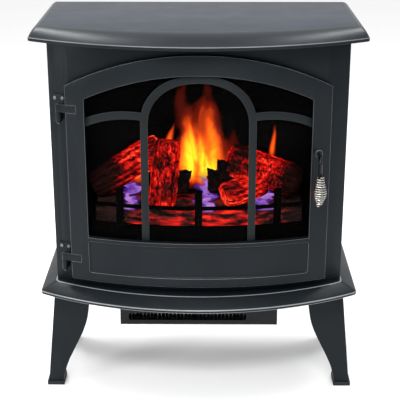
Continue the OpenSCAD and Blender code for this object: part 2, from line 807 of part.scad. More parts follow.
// Radius of the coil's outside, from its top (0) to its tip (1)
grip_top_r = 6.5;
grip_tip_r = 5;
function grip_r(t) = t < 0.58 ? grip_top_r + (grip_d / 2 - grip_top_r) * ease(t / 0.58)
    : grip_tip_r + (grip_d / 2 - grip_tip_r) * ease((1 - t) / 0.42);
module handle_grip() color([0.75, 0.73, 0.68]) {
    turns = 13;
    pitch = (grip_len - grip_wire) / turns;
    translate([handle_x, grip_y, grip_top_z - grip_len]) difference() {
        rotate_extrude($fn = 96) {
            for (i = [0:turns])
                translate([grip_r(1 - i / turns) - grip_wire / 2, grip_wire / 2 + i * pitch])
                    circle(d = grip_wire, $fn = 32);
            polygon(concat([[0, 0]], [for (i = [0:turns])
                [grip_r(1 - i / turns) - grip_wire / 2, grip_wire / 2 + i * pitch]], [[0, grip_len]]));
        }
        translate([0, 0, grip_wire]) cylinder(d = handle_rod_d, h = grip_len, $fn = 48);
    }
}
module handle_cam() color("silver")
    difference() {
        translate([handle_x, cam_y + cam_t, handle_z]) rotate([90, 0, 0]) linear_extrude(cam_t) {
            circle(d = handle_rod_d + 7, $fn = 64);
            translate([-cam_w / 2, -cam_len]) square([cam_w, cam_len]);
        }
        rod_y(handle_rod_d, cam_y - over, cam_y + cam_t + over, handle_x, handle_z);
    }
module strike_plate() color("silver")
    intersection() {
        strike_seat(magnet_d + 4, 1);
        bow_shell(door_back_r + 1, door_back_r, door_z, win_z);
    }
module door_magnet() color(black)
    at_bow(cab_r, magnet_x) bow_rod(magnet_d, cab_r - 14, cab_r + door_gap - 0.6, control_mid_z);

// ---------- controls ----------

module control_panel() color(black) {
    half = control_half + wall_t + 6;
    z0 = control_z - 5;
    z1 = control_z + control_h + 5;
    difference() {
        translate([0, 0, z0]) linear_extrude(z1 - z0) intersection() {
            translate([0, bow_cy]) circle(cab_r - sheet_t, $fn = 360);
            translate([-half, front_y]) square([2 * half, plate_y + plate_t - front_y]);
        }
        box(-half + wall_t, half - wall_t, front_y, plate_y, z0 + wall_t, z1 - wall_t);
        for (s = [-1, 1]) rod_y(spindle_d + 2 * run_gap, plate_y - over, plate_y + plate_t + over, s * knob_x, control_mid_z);
        for (i = [-1:1]) box(i * switch_pitch - rocker_w / 2 - free_gap, i * switch_pitch + rocker_w / 2 + free_gap,
            plate_y - over, plate_y + plate_t + over, control_mid_z - rocker_r - free_gap, control_mid_z + rocker_r + free_gap);
    }
    // Wells behind the plate in which the rockers turn
    for (i = [-1:1]) difference() {
        well = rocker_w / 2 + free_gap;
        box(i * switch_pitch - well - wall_t, i * switch_pitch + well + wall_t, plate_y + plate_t - 0.5,
            rocker_y + rocker_r + 2, control_mid_z - rocker_r - 2, control_mid_z + rocker_r + 2);
        rod_x(2 * (rocker_r + free_gap), i * switch_pitch - well, i * switch_pitch + well, rocker_y, control_mid_z);
        rod_x(rocker_pin_d + 2 * run_gap, i * switch_pitch - well - wall_t - over, i * switch_pitch + well + wall_t + over,
            rocker_y, control_mid_z);
    }
}
module rocker(i) color(black) {
    // Round-backed rocker on two stub pins, its face tilted to the off position
    tilt = 8;
    difference() {
        rod_x(2 * rocker_r, i * switch_pitch - rocker_w / 2, i * switch_pitch + rocker_w / 2, rocker_y, control_mid_z);
        translate([i * switch_pitch, rocker_y, control_mid_z]) rotate([tilt, 0, 0])
            box(-rocker_w, rocker_w, -3 * rocker_r, -rocker_stand - plate_t, -2 * rocker_r, 2 * rocker_r);
    }
    rod_x(rocker_pin_d, i * switch_pitch - rocker_w / 2 - wall_t, i * switch_pitch + rocker_w / 2 + wall_t,
        rocker_y, control_mid_z);
}
module flame_switch() rocker(-1);
module low_heat_switch() rocker(0);
module high_heat_switch() rocker(1);

body_gap = 0.5;
module knob(x) {
    // Fluted cap with a pointer ridge, on its spindle
    flutes = 12;
    difference() {
        rod_y(knob_d, plate_y - body_gap - knob_h, plate_y - body_gap, x, control_mid_z);
        for (i = [0:flutes - 1]) translate([x, 0, control_mid_z]) rotate([0, i * 360 / flutes + 15, 0])
            rod_y(3, plate_y - knob_h - body_gap - over, plate_y - body_gap - 3, knob_d / 2 + 0.6, 0);
    }
    box(x - 1, x + 1, plate_y - body_gap - knob_h - 1.2, plate_y - body_gap - knob_h + 1, control_mid_z, control_mid_z + knob_d / 2 - 2);
    rod_y(spindle_d, plate_y - body_gap - 1, plate_y + plate_t + 14, x, control_mid_z);
}
module thermostat_knob() color(black) knob(-knob_x);
module dimmer_knob() color(black) knob(knob_x);
module spindle_bore(x) {
    rod_y(spindle_d + 2 * run_gap, plate_y + plate_t - over, plate_y + plate_t + 14.5, x, control_mid_z);
}
module thermostat_body() color([0.8, 0.78, 0.7])
    difference() {
        union() {
            box(-knob_x - 16, -knob_x + 16, plate_y + plate_t, plate_y + plate_t + 20, control_mid_z - 16, control_mid_z + 16);
            for (s = [-1, 1]) box(-knob_x + s * 9 - 3, -knob_x + s * 9 + 3, plate_y + plate_t + 19, plate_y + plate_t + 28,
                control_mid_z - 0.5, control_mid_z + 0.5);
        }
        spindle_bore(-knob_x);
    }
module dimmer_body() color("green")
    difference() {
        rod_y(24, plate_y + plate_t, plate_y + plate_t + 18, knob_x, control_mid_z);
        spindle_bore(knob_x);
    }
board_x = slot_right + 24;
board_w = 100;
module control_board() color([0.1, 0.35, 0.2]) {
    post_h = 6;
    z = base_top_z + post_h;
    translate([board_x, 0, 0]) {
        box(0, board_w, 20, 90, z, z + 1.6);
        for (x = [5, board_w - 5], y = [25, 85]) translate([x, y, base_top_z]) cylinder(d = 6, h = post_h, $fn = 32);
        box(10, 34, 30, 52, z + 1.5, z + 24);
        box(42, 72, 30, 46, z + 1.5, z + 18);
        for (i = [0:2]) translate([46 + 14 * i, 68, z + 1.5]) cylinder(d = 11, h = 16, $fn = 48);
    }
}

// ---------- firebox ----------

module liner_outline(half, y_back, r) {
    intersection() {
        translate([0, bow_cy]) circle(r, $fn = 360);
        translate([-half, front_y]) square([2 * half, y_back - front_y]);
    }
}
rotor_shaft_hole = rotor_shaft_d + 2;
module firebox_liner() color(black)
    difference() {
        translate([0, 0, liner_z]) linear_extrude(liner_top_z - liner_z)
            liner_outline(liner_half, liner_back_y, cab_r - sheet_t);
        translate([0, 0, liner_z + liner_t]) linear_extrude(liner_top_z - liner_z - 2 * liner_t)
            liner_outline(liner_half - liner_t, liner_back_y - liner_t, cab_r + over);
        rod_x(rotor_shaft_hole, -liner_half - over, liner_half + over, rotor_y, rotor_z);
    }
// Flat-sided moulding with a bowed front, standing in the liner
module bowed_block(half, r, y_back, z0, z1) {
    translate([0, 0, z0]) linear_extrude(z1 - z0) liner_outline(half, y_back, r);
}
bed_back_y = screen_y - 6;
module log_tray() color(black)
    difference() {
        bowed_block(bed_half + 8, tray_r, bed_back_y, floor_z, tray_z);
        bowed_block(bed_half + 4, tray_r - 4, bed_back_y - 4, floor_z - over, tray_z - 4);
    }
module ember_bed() color([0.75, 0.2, 0.05])
    difference() {
        bowed_block(bed_half, bed_r, bed_back_y, tray_z, bed_z);
        bowed_block(bed_half - 4, bed_r - 4, bed_back_y - 4, tray_z - over, bed_z - 5);
    }
grate_r = bed_r + 5;
post_w = 12;
post_x = 124;
post_h = 60;
rail_z = tray_z + 28;
module grate() color(black)
    intersection() {
        through_front() {
            for (x = [-post_x, 0, post_x]) translate([x - post_w / 2, tray_z]) square([post_w, post_h]);
            translate([-bed_half, rail_z]) square([2 * bed_half, 6]);
        }
        bow_shell(grate_r, bed_r + 1, tray_z, tray_z + post_h);
    }
// Round log between two points
module log_between(a, b, r) {
    d = b - a;
    translate(a) rotate([0, acos(d[2] / norm(d)), atan2(d[1], d[0])]) cylinder(r = r, h = norm(d), $fn = 48);
}
log_gap = 0.5;
log_base_z = bed_z + log_gap;
module log_room() {
    box(-overall_w, overall_w, front_y, bed_back_y, log_base_z, overall_h);
}
module raw_left(grow) log_between([-166, -12, bed_z + 22], [-72, -22, bed_z + 84], 24 + grow);
module raw_centre(grow) log_between([-60.5, -56.5, bed_z - 30], [-48, -34, bed_z + 96], 20 + grow);
module raw_right(grow) log_between([42, -26, bed_z + 66], [158, -16, bed_z + 25], 23 + grow);
module raw_front(grow) log_between([40, -55, bed_z + 12], [104, -26, bed_z + 28], 21 + grow);
module log_left() color([0.45, 0.12, 0.06]) difference() {
    intersection() { raw_left(0); log_room(); }
    raw_centre(log_gap);
}
module log_centre() color([0.35, 0.10, 0.06]) intersection() { raw_centre(0); log_room(); }
module log_right() color([0.45, 0.12, 0.06]) difference() {
    intersection() { raw_right(0); log_room(); }
    raw_front(log_gap);
}
module log_front() color([0.30, 0.10, 0.06]) intersection() { raw_front(0); log_room(); }
module flame_screen() color([0.3, 0.2, 0.15, 0.5])
    box(-liner_half + liner_t, liner_half - liner_t, screen_y, screen_y + screen_t, floor_z, liner_top_z - liner_t);
module flame_rotor() color("silver") {
    petals = 10;
    petal_w = rotor_len / petals * 0.7;
    rod_x(rotor_shaft_d, -liner_half - 5.5, liner_half + 10, rotor_y, rotor_z);
    for (i = [0:petals - 1]) translate([(i - (petals - 1) / 2) * rotor_len / petals, rotor_y, rotor_z])
        rotate([i * 36, 0, 0]) {
            cube([petal_w, 2 * rotor_r, 0.8], center = true);
            rotate([90, 0, 0]) cube([petal_w * 0.6, 1.6 * rotor_r, 0.8], center = true);
        }
}
module rotor_motor() color([0.7, 0.7, 0.6])
    difference() {
        union() {
            rod_x(48, liner_half + 3, liner_half + 17, rotor_y, rotor_z);
            rod_x(12, liner_half, liner_half + 4, rotor_y, rotor_z);
            for (s = [-1, 1]) translate([liner_half, rotor_y + s * 27 - 4, rotor_z - 4]) cube([4, 8, 8]);
            box(liner_half + 3, liner_half + 4.5, rotor_y - 31, rotor_y + 31, rotor_z - 4, rotor_z + 4);
        }
        rod_x(rotor_shaft_d + 2 * run_gap, liner_half - over, liner_half + 12, rotor_y, rotor_z);
    }
module rotor_bush() color("white")
    difference() {
        rod_x(14, -liner_half - 6, -liner_half, rotor_y, rotor_z);
        rod_x(rotor_shaft_d + 2 * run_gap, -liner_half - 6 - over, -liner_half + over, rotor_y, rotor_z);
    }
module led_boards() color([0.1, 0.35, 0.2]) {
    leds = 9;
    board_w = 280;
    for (y = [rotor_y - 7, -50]) {
        box(-board_w / 2, board_w / 2, y, y + 14, floor_z, floor_z + 1.6);
        for (i = [0:leds - 1])
            translate([(i - (leds - 1) / 2) * board_w / leds, y + 7, floor_z + 1.5]) cylinder(d = 5, h = 6, $fn = 32);
    }
}

// ---------- fan heater ----------

module slot_shape(grow) {
    rounded_rect(-slot_left - grow, slot_z - grow, slot_left + slot_right + 2 * grow, slot_h + 2 * grow, 3);
}
module heater_box() color([0.12, 0.12, 0.12])
    difference() {
        box(-heater_half, heater_half, heater_y, heater_y + heater_d, heater_z, heater_top_z);
        box(-heater_half + heater_t, heater_half - heater_t, heater_y + heater_t, heater_y + heater_d - heater_t,
            heater_z + heater_t, heater_top_z + over);
        translate([0, heater_y + heater_t + over, 0]) rotate([90, 0, 0])
            linear_extrude(heater_t + 2 * over) slot_shape(0);
    }
module outlet_grille() color(black) {
    vanes = 22;
    y0 = heater_y + heater_t;
    translate([0, y0 + 2, 0]) rotate([90, 0, 0]) linear_extrude(2) difference() {
        slot_shape(4);
        slot_shape(0);
    }
    pitch = (slot_left + slot_right) / (vanes + 1);
    for (i = [1:vanes]) box(-slot_left + i * pitch - 0.5, -slot_left + i * pitch + 0.5, y0, y0 + 5, slot_z - 3, slot_z + slot_h + 3);
}
module blower_wheel() color("silver") {
    blades = 20;
    rings = 4;
    x0 = wheel_mid_x - wheel_len / 2;
    for (i = [0:rings]) difference() {
        rod_x(wheel_d, x0 + i * (wheel_len - 1.5) / rings, x0 + i * (wheel_len - 1.5) / rings + 1.5, wheel_y, wheel_z);
        if (i > 0 && i < rings)
            rod_x(wheel_d - 16, x0, x0 + wheel_len, wheel_y, wheel_z);
    }
    for (i = [0:blades - 1]) translate([x0, wheel_y, wheel_z]) rotate([i * 360 / blades, 0, 0])
        translate([0.5, wheel_d / 2 - 7.5, -0.4]) cube([wheel_len - 1, 7, 0.8]);
    rod_x(blower_shaft_d, x0 - 12, x0 + 1, wheel_y, wheel_z);
    rod_x(blower_shaft_d, x0 + wheel_len - 1, x0 + wheel_len + 22, wheel_y, wheel_z);
}
module blower_motor() color([0.7, 0.7, 0.65]) {
    x0 = wheel_mid_x + wheel_len / 2 + 6;
    difference() {
        union() {
            rod_x(38, x0, heater_half - heater_t - 14, wheel_y, wheel_z);
            box(x0 + 4, x0 + 7, wheel_y - 22, wheel_y + 22, heater_z + heater_t, wheel_z);
        }
        rod_x(blower_shaft_d + 2 * run_gap, x0 - over, x0 + 20, wheel_y, wheel_z);
    }
}
module blower_bush() color("white") {
    x1 = wheel_mid_x - wheel_len / 2 - 3;
    difference() {
        union() {
            rod_x(14, -heater_half + heater_t, x1, wheel_y, wheel_z);
            box(-heater_half + heater_t, -heater_half + heater_t + 3, wheel_y - 12, wheel_y + 12,
                heater_z + heater_t, wheel_z);
        }
        rod_x(blower_shaft_d + 2 * run_gap, -heater_half + heater_t - over, x1 + over, wheel_y, wheel_z);
    }
}
module heating_element() color("gainsboro") {
    fins = 30;
    x0 = -slot_left + 3;
    x1 = slot_right - 3;
    z0 = heater_z + heater_t;
    z1 = slot_z + slot_h + 6;
    bar = 4;
    for (z = [z0, z1 - bar]) box(x0, x1, element_y, element_y + element_d, z, z + bar);
    for (i = [0:fins]) let(x = x0 + i * (x1 - x0 - 1) / fins)
        box(x, x + 1, element_y + 1, element_y + element_d - 1, z0 + bar - 0.5, z1 - bar + 0.5);
}
module thermal_cutout() color("gainsboro") {
    x = slot_right - 24;
    z = slot_z + slot_h + 6;
    translate([x, element_y + element_d / 2, z]) cylinder(d = 14, h = 6, $fn = 48);
    for (s = [-1, 1]) box(x + s * 4 - 2.5, x + s * 4 + 2.5, element_y + element_d / 2 - 0.4,
        element_y + element_d / 2 + 0.4, z + 5.5, z + 14);
}
module cord_gland() color(black)
    difference() {
        union() {
            rod_y(gland_d, cab_back_y - 6, cab_back_y, gland_x, gland_z);
            rod_y(gland_d + 6, cab_back_y, cab_back_y + 3, gland_x, gland_z);
            rod_y(gland_d + 5, cab_back_y - sheet_t - 4, cab_back_y - sheet_t, gland_x, gland_z);
        }
        rod_y(7, cab_back_y - 7, cab_back_y + 4, gland_x, gland_z);
    }

top_plate();
side_panel_left();
side_panel_right();
front_fascia();
back_panel();
base_plate();
leg_front_left();
leg_front_right();
leg_rear_left();
leg_rear_right();
foot_caps();
leg_bolts();
door_frame();
door_grille();
door_glass();
glass_clips();
clip_screws();
hinge_arm_upper();
hinge_arm_lower();
hinge_bracket_upper();
hinge_bracket_lower();
hinge_pins();
cabinet_screws();
handle_bush();
handle_rod();
handle_grip();
handle_cam();
strike_plate();
door_magnet();
control_panel();
thermostat_knob();
dimmer_knob();
thermostat_body();
dimmer_body();
flame_switch();
low_heat_switch();
high_heat_switch();
control_board();
firebox_liner();
log_tray();
ember_bed();
grate();
log_left();
log_centre();
log_right();
log_front();
flame_screen();
flame_rotor();
rotor_motor();
rotor_bush();
led_boards();
heater_box();
outlet_grille();
blower_wheel();
blower_motor();
blower_bush();
heating_element();
thermal_cutout();
cord_gland();
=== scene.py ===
import math

import bpy
from mathutils import Matrix, Vector, noise


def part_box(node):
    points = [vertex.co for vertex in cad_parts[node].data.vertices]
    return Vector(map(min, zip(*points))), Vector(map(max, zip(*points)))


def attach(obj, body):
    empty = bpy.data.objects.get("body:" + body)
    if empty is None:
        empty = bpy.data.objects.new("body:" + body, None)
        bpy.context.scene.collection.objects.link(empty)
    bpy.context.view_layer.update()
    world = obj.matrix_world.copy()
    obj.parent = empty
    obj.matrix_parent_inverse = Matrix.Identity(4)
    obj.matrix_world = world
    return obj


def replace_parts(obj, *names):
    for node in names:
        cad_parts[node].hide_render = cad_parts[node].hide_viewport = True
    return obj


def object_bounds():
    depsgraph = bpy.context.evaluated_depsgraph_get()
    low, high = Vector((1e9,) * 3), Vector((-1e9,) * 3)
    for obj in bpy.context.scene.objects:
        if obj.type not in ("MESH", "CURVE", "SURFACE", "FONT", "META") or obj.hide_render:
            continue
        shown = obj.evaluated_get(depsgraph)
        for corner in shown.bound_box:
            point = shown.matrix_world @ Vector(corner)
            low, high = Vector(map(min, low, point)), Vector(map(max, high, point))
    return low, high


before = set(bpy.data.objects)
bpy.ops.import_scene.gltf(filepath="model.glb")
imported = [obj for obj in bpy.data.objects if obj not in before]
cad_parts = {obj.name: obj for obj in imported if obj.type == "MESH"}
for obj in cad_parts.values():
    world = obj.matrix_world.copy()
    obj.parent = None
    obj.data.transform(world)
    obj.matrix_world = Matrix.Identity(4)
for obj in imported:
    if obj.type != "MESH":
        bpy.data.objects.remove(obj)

cad_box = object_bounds()

# ---- base slab ----
# The stove's lower ledge: a bowed slab of pressed steel with a rolled lip, stoved in a satin
# charcoal enamel. Its rounded folded edges get a much paler enamel: a painted highlight along each edge.


class Dye:
    """A socket in a finish's nodes, so that sums on it are written as plain expressions."""

    def __init__(self, tree, end=None):
        self.tree, self.end = tree, end

    def node(self, kind, pins=None, out=0, stops=None, **settings):
        """Adds a node: its settings first, then the values or links of its sockets."""
        n = self.tree.nodes.new("ShaderNode" + kind)
        for key, value in settings.items():
            setattr(n, key, value)
        if stops:
            ramp = n.color_ramp.elements
            while len(ramp) < len(stops):
                ramp.new(0.5)
            for spot, (at, tint) in zip(ramp, stops):
                spot.position, spot.color = at, (*tint, 1)
        for key, value in (pins or {}).items():
            if isinstance(value, Dye):
                self.tree.links.new(value.end, n.inputs[key])
            else:
                n.inputs[key].default_value = value
        return Dye(self.tree, n.outputs[out])

    def sum(self, how, a, b=0.0):
        return self.node("Math", {0: a, 1: b}, operation=how)

    def __add__(self, other):
        return self.sum("ADD", self, other)

    def __mul__(self, other):
        return self.sum("MULTIPLY", self, other)

    def __sub__(self, other):
        return self.sum("SUBTRACT", self, other)

    def __rsub__(self, other):
        return self.sum("SUBTRACT", other, self)

    def __truediv__(self, other):
        return self.sum("DIVIDE", self, other)

    def __pow__(self, other):
        return self.sum("POWER", self, other)

    __radd__, __rmul__ = __add__, __mul__

    def step(self, low, high):
        """0 below low and 1 above high, eased between."""
        return self.node("MapRange", {"Value": self, "From Min": low, "From Max": high},
                         interpolation_type="SMOOTHSTEP")

    def size(self):
        """This number without its sign."""
        return self.sum("ABSOLUTE", self)

    def along(self, axis):
        """How far this place lies along X, Y or Z."""
        return self.node("SeparateXYZ", {"Vector": self}, out=axis)

    def ramp(self, *stops):
        """This number as a colour, from stops of where and which colour."""
        return self.node("ValToRGB", {"Fac": self}, out="Color", stops=stops)

    def grain(self, scale, detail=3.0, stretch=(1, 1, 1), out="Fac", **more):
        """Cloudy noise over this place, drawn out along an axis by stretch."""
        place = self.node("Mapping", {"Vector": self, "Scale": stretch})
        pins = {"Vector": place, "Scale": scale, "Detail": detail, **more}
        return self.node("TexNoise", pins, out=out)

    def blend(self, a, b):
        """The colour a where this is 0 and b where it is 1."""
        a, b = [c if isinstance(c, Dye) else (*c, 1) for c in (a, b)]
        return self.node("Mix", {0: self, 6: a, 7: b}, out=2, data_type="RGBA")


def finish(name, **fixed):
    """A new finish with its even values set: the material, its shader and its own place."""
    made = bpy.data.materials.new(name)
    made.use_nodes = True
    shader = made.node_tree.nodes["Principled BSDF"]
    for label, value in fixed.items():
        shader.inputs[label.replace("_", " ").title().replace("Ior", "IOR")].default_value = value
    return made, shader, Dye(made.node_tree).node("TexCoord", out="Object")


def wire(shader, **pins):
    """Leads what changes over the surface to the shader's sockets."""
    for label, value in pins.items():
        label = label.replace("_", " ").title()
        value.tree.links.new(value.end, shader.inputs[label])


def bump(height, depth, strength=1.0):
    """Relief of this depth, for a shader's normal."""
    return height.node("Bump", {"Strength": strength, "Distance": depth, "Height": height})


def enamel(name, dark, light, rough, gloss=0.3, peel=0.00012):
    """Stoved satin enamel: cloudy in tint and sheen, with the fine orange peel of spraying."""
    made, shader, place = finish(name, specular_ior_level=gloss, specular_tint=(0.90, 0.955, 1.0, 1.0))
    cloud = place.grain(9, 4)
    wire(shader, base_color=cloud.step(0.3, 0.7).blend(dark, light),
         roughness=rough - 0.05 + 0.1 * place.grain(26, 5),
         normal=bump(place.grain(620, 2) + 0.4 * place.grain(170, 2), peel))
    return made


charcoal = enamel("charcoal_enamel", (0.0038, 0.0058, 0.0074), (0.0062, 0.0085, 0.0104), 0.38, 0.15)
# A far paler copy of the enamel for the rounded folded edges: a painted highlight.
charcoal_edge_highlight = enamel("charcoal_enamel_edge_highlight", (0.150, 0.158, 0.163), (0.200, 0.208, 0.212), 0.30, 0.6)
# A dimmer pale copy of the enamel for the rounded edges of legs and hinges: a painted highlight.
dim_edge_highlight = enamel("charcoal_enamel_dim_highlight", (0.024, 0.027, 0.030), (0.036, 0.040, 0.043), 0.30, 0.5)


def alone(obj):
    """Leaves only this piece selected and active."""
    if bpy.context.object and bpy.context.object.mode != "OBJECT":
        bpy.ops.object.mode_set(mode="OBJECT")
    bpy.ops.object.select_all(action="DESELECT")
    obj.select_set(True)
    bpy.context.view_layer.objects.active = obj
    return obj


def press(obj, kind, **settings):
    """Adds a modifier and applies it."""
    alone(obj)
    tool = obj.modifiers.new(kind.title(), kind)
    for key, value in settings.items():
        setattr(tool, key, value)
    bpy.ops.object.modifier_apply(modifier=tool.name)


def dress(obj, body, slot, *finishes, angle=35):
    """Gives a piece its finishes, smooth shading up to an angle and its body; the argument slot is not
    used.
    """
    alone(obj)
    parts = [face.material_index for face in obj.data.polygons]
    obj.data.materials.clear()
    for made in finishes:
        obj.data.materials.append(made)
    obj.data.polygons.foreach_set("material_index", parts)
    bpy.ops.object.shade_smooth_by_angle(angle=math.radians(angle))
    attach(obj, body)
    return obj


def fold_edges(obj, fold, rings, sharp=28):
    """Rounds a piece's sharp folds; the rounded strips are its material 1."""
    obj.data.materials.clear()
    # The rounded strips get the paler enamel, a painted highlight along each fold.
    for made in (charcoal, charcoal_edge_highlight):
        obj.data.materials.append(made)
    obj.data.polygons.foreach_set("material_index", [0] * len(obj.data.polygons))
    press(obj, "BEVEL", width=fold, segments=rings, limit_method="ANGLE",
          angle_limit=math.radians(sharp), miter_outer="MITER_ARC", material=1)


def softened(node, name, fold, rings=2, sharp=28, weld=0.00001):
    """A copy of a CAD piece with its sharp folds rounded; the rounded strips are material 1."""
    obj = bpy.data.objects.new(name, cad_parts[node].data.copy())
    bpy.context.collection.objects.link(obj)
    alone(obj)
    bpy.ops.object.mode_set(mode="EDIT")
    bpy.ops.mesh.select_all(action="SELECT")
    bpy.ops.mesh.remove_doubles(threshold=1e-5)
    bpy.ops.mesh.dissolve_limited(angle_limit=math.radians(1))
    bpy.ops.mesh.select_all(action="SELECT")
    bpy.ops.mesh.remove_doubles(threshold=weld)
    bpy.ops.object.mode_set(mode="OBJECT")
    fold_edges(obj, fold, rings, sharp)
    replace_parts(obj, node)
    return obj


def outline(half, front, rise, back, corner, corner_steps=8, bow_steps=64):
    """A slab's plan: a front bowed by rise between round corners, and a straight back."""
    radius = (half * half + rise * rise) / (2 * rise)
    middle = front + radius
    sweep = math.asin((half - corner) / (radius - corner))
    corner_y = middle - (radius - corner) * math.cos(sweep)
    turns = [(math.pi / 2 - sweep) * i / corner_steps for i in range(corner_steps)]
    left = [(corner - half - corner * math.cos(t), corner_y - corner * math.sin(t)) for t in turns]
    arcs = [-sweep + 2 * sweep * i / bow_steps for i in range(bow_steps + 1)]
    return (left + [(radius * math.sin(t), middle - radius * math.cos(t)) for t in arcs]
            + [(-x, y) for x, y in reversed(left)] + [(half, back), (-half, back)])


def crown_face(mesh):
    """The slab's upper face: the highest of those with the most corners."""
    return max(mesh.polygons, key=lambda f: (len(f.vertices), f.center.z))


def slab(name, levels):
    """Raises a slab from its underside, one outline and height after another."""
    bpy.ops.object.select_all(action="DESELECT")
    bpy.ops.mesh.primitive_circle_add(vertices=len(outline(*levels[0][0])), radius=0.1,
                                      fill_type="NGON", location=(0, 0, 0))
    obj = bpy.context.object
    obj.name = name
    for number, (plan, height) in enumerate(levels):
        if number:
            bpy.ops.object.mode_set(mode="EDIT")
            bpy.ops.mesh.select_mode(type="FACE")
            bpy.ops.mesh.select_all(action="DESELECT")
            bpy.ops.object.mode_set(mode="OBJECT")
            crown_face(obj.data).select = True
            bpy.ops.object.mode_set(mode="EDIT")
            bpy.ops.mesh.extrude_region_move(TRANSFORM_OT_translate={"value": (0, 0, 0.001)})
            bpy.ops.object.mode_set(mode="OBJECT")
        for index, (x, y) in zip(crown_face(obj.data).vertices[:], outline(*plan)):
            obj.data.vertices[index].co = (x, y, height)
    alone(obj)
    bpy.ops.object.mode_set(mode="EDIT")
    bpy.ops.mesh.select_all(action="SELECT")
    bpy.ops.mesh.normals_make_consistent(inside=False)
    bpy.ops.object.mode_set(mode="OBJECT")
    return obj


def swept(lip, inner, start, end, power, rings):
    """The outlines and heights of a rounded shoulder from the lip to the face."""
    half, front, rise, back, corner = lip
    side_in, front_in, face_rise = inner
    found = []
    for i in range(1, rings + 1):
        t = i / rings
        plan = (half - side_in * t, front + front_in * t, rise + (face_rise - rise) * t, back, corner)
        found.append((plan, start + (end - start) * (1 - (1 - t) ** power)))
    return found


base_lip = (0.255, -0.150, 0.072, 0.150, 0.012)
base_low, base_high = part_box("base_plate")
lip_z = base_low[2] + 0.005
base = slab("base_slab", [(base_lip, base_low[2]), (base_lip, lip_z)]
            + swept(base_lip, (0.024, 0.024, 0.0605), lip_z, base_high[2], 1.12, 4))
fold_edges(base, 0.0011, 3, 16)
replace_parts(base, "base_plate")
dress(base, "cabinet", "charcoal_enamel", charcoal, charcoal_edge_highlight, angle=40)

# ---- legs ----
# Four cast legs that sweep out to the feet, bolted up under the ledge, enamelled like the body.
# Each foot stands in a moulded rubber cap that keeps it off the floor.
# The legs' rounded edges get the dim pale enamel, a painted highlight.
for spot in ("front_left", "front_right", "rear_left", "rear_right"):
    dress(softened("leg_" + spot, spot + "_leg", 0.0012, 3, weld=0.0006), "cabinet", "charcoal_enamel",
          charcoal, dim_edge_highlight)
rubber, shader, place = finish("cap_rubber", specular_ior_level=0.25)
wire(shader, base_color=place.grain(60).blend((0.008, 0.009, 0.010), (0.016, 0.017, 0.018)),
     roughness=0.6 + 0.2 * place.grain(90), normal=bump(place.grain(900, 2), 0.0001))
dress(softened("foot_caps", "rubber_foot_caps", 0.0012, 2), "cabinet", "cap_rubber", rubber, rubber)


def coat(node, made):
    """A CAD piece whose shape is already right gets its finish."""
    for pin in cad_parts[node].material_slots:
        pin.material = made


def metal(name, dark, light, rough, scale=240, stretch=(1, 1, 1), depth=0.00002):
    """Bare or plated metal, clouded in tint and sheen, with fine drawn or rolled marks."""
    made, shader, place = finish(name, metallic=1.0)
    marks = place.grain(scale, 4, stretch)
    wire(shader, base_color=marks.step(0.25, 0.75).blend(dark, light),
         roughness=rough - 0.06 + 0.12 * place.grain(40, 4), normal=bump(marks, depth, 0.6))
    return made


def moulded(name, dark, light, rough, grain=1100, gloss=0.35, depth=0.00004):
    """Moulded plastic with a fine spark-eroded grain and a slightly uneven sheen."""
    made, shader, place = finish(name, specular_ior_level=gloss)
    wire(shader, base_color=place.grain(35, 4).blend(dark, light),
         roughness=rough - 0.05 + 0.1 * place.grain(60, 3), normal=bump(place.grain(grain, 2), depth))
    return made


zinc = metal("zinc_steel", (0.34, 0.35, 0.36), (0.55, 0.56, 0.57), 0.36, 320)
dress(softened("leg_bolts", "leg_bolt_set", 0.0005, 2), "cabinet", "zinc_steel", zinc, zinc)

# ---- cabinet ----
# A box of thin folded sheet: two sides, a bowed front fascia cut out for the window and the
# controls, and a plain black back with six louvre groups. Screws hold the hinges and the back.
for node, name in (("side_panel_left", "left_side"), ("side_panel_right", "right_side"),
                   ("front_fascia", "bowed_fascia")):
    dress(softened(node, name, 0.0006, 2), "cabinet", "charcoal_enamel", charcoal, charcoal_edge_highlight)
black_sheet = enamel("black_sheet", (0.0060, 0.0064, 0.0068), (0.0095, 0.0098, 0.0102), 0.52, 0.2)
coat("back_panel", black_sheet)
black_screw = metal("zinc_steel_blackened", (0.10, 0.10, 0.10), (0.19, 0.19, 0.19), 0.34, 320)
dress(softened("cabinet_screws", "cabinet_screw_set", 0.0003, 2), "cabinet", "zinc_steel",
      black_screw, black_screw)
gland_plastic = moulded("component_plastic", (0.018, 0.018, 0.019), (0.030, 0.030, 0.031), 0.5)
dress(softened("cord_gland", "cord_strain_gland", 0.0006, 2), "cabinet", "component_plastic",
      gland_plastic, gland_plastic)

# ---- firebox ----
# A black sheet liner that keeps the light in, open at the front behind the glass, with the
# shallow tray that the ember bed stands on.
soot, shader, place = finish("firebox_black", specular_ior_level=0.0, roughness=0.9)
wire(shader, base_color=place.grain(30, 4).blend((0.0006, 0.0006, 0.0006), (0.0016, 0.0014, 0.0013)),
     normal=bump(place.grain(500), 0.0001))
for node in ("firebox_liner", "log_tray", "led_boards"):
    coat(node, soot)

# ---- ember bed ----
# One moulded shell of thin translucent resin, painted as coals and lit from below: red in the
# cracks between dark lumps, with a blue gas light low down in three places behind the grate.
bed_low, bed_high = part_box("ember_bed")
bed_top = bed_high[2]
bed_floor, bed_half = bed_low[2], bed_high[0]
bow_middle_y, bed_radius, bed_cuts = 0.450, 0.532, 84
lump_size, lump_rise, grit_rise, wall_gap = 0.017, 0.0032, 0.0012, 0.001
blue_spots = ((-0.112, 0.015), (0.012, 0.018), (0.104, 0.018))


def bowed(x, radius):
    """Where the bow of this radius stands at x."""
    return bow_middle_y - math.sqrt(radius * radius - x * x)


def cracks(spot, size):
    """0 in the crack between two lumps and 1 on a lump's crown."""
    near = noise.voronoi(spot / size)[0]
    return min(1.0, (near[1] - near[0]) * 1.6)


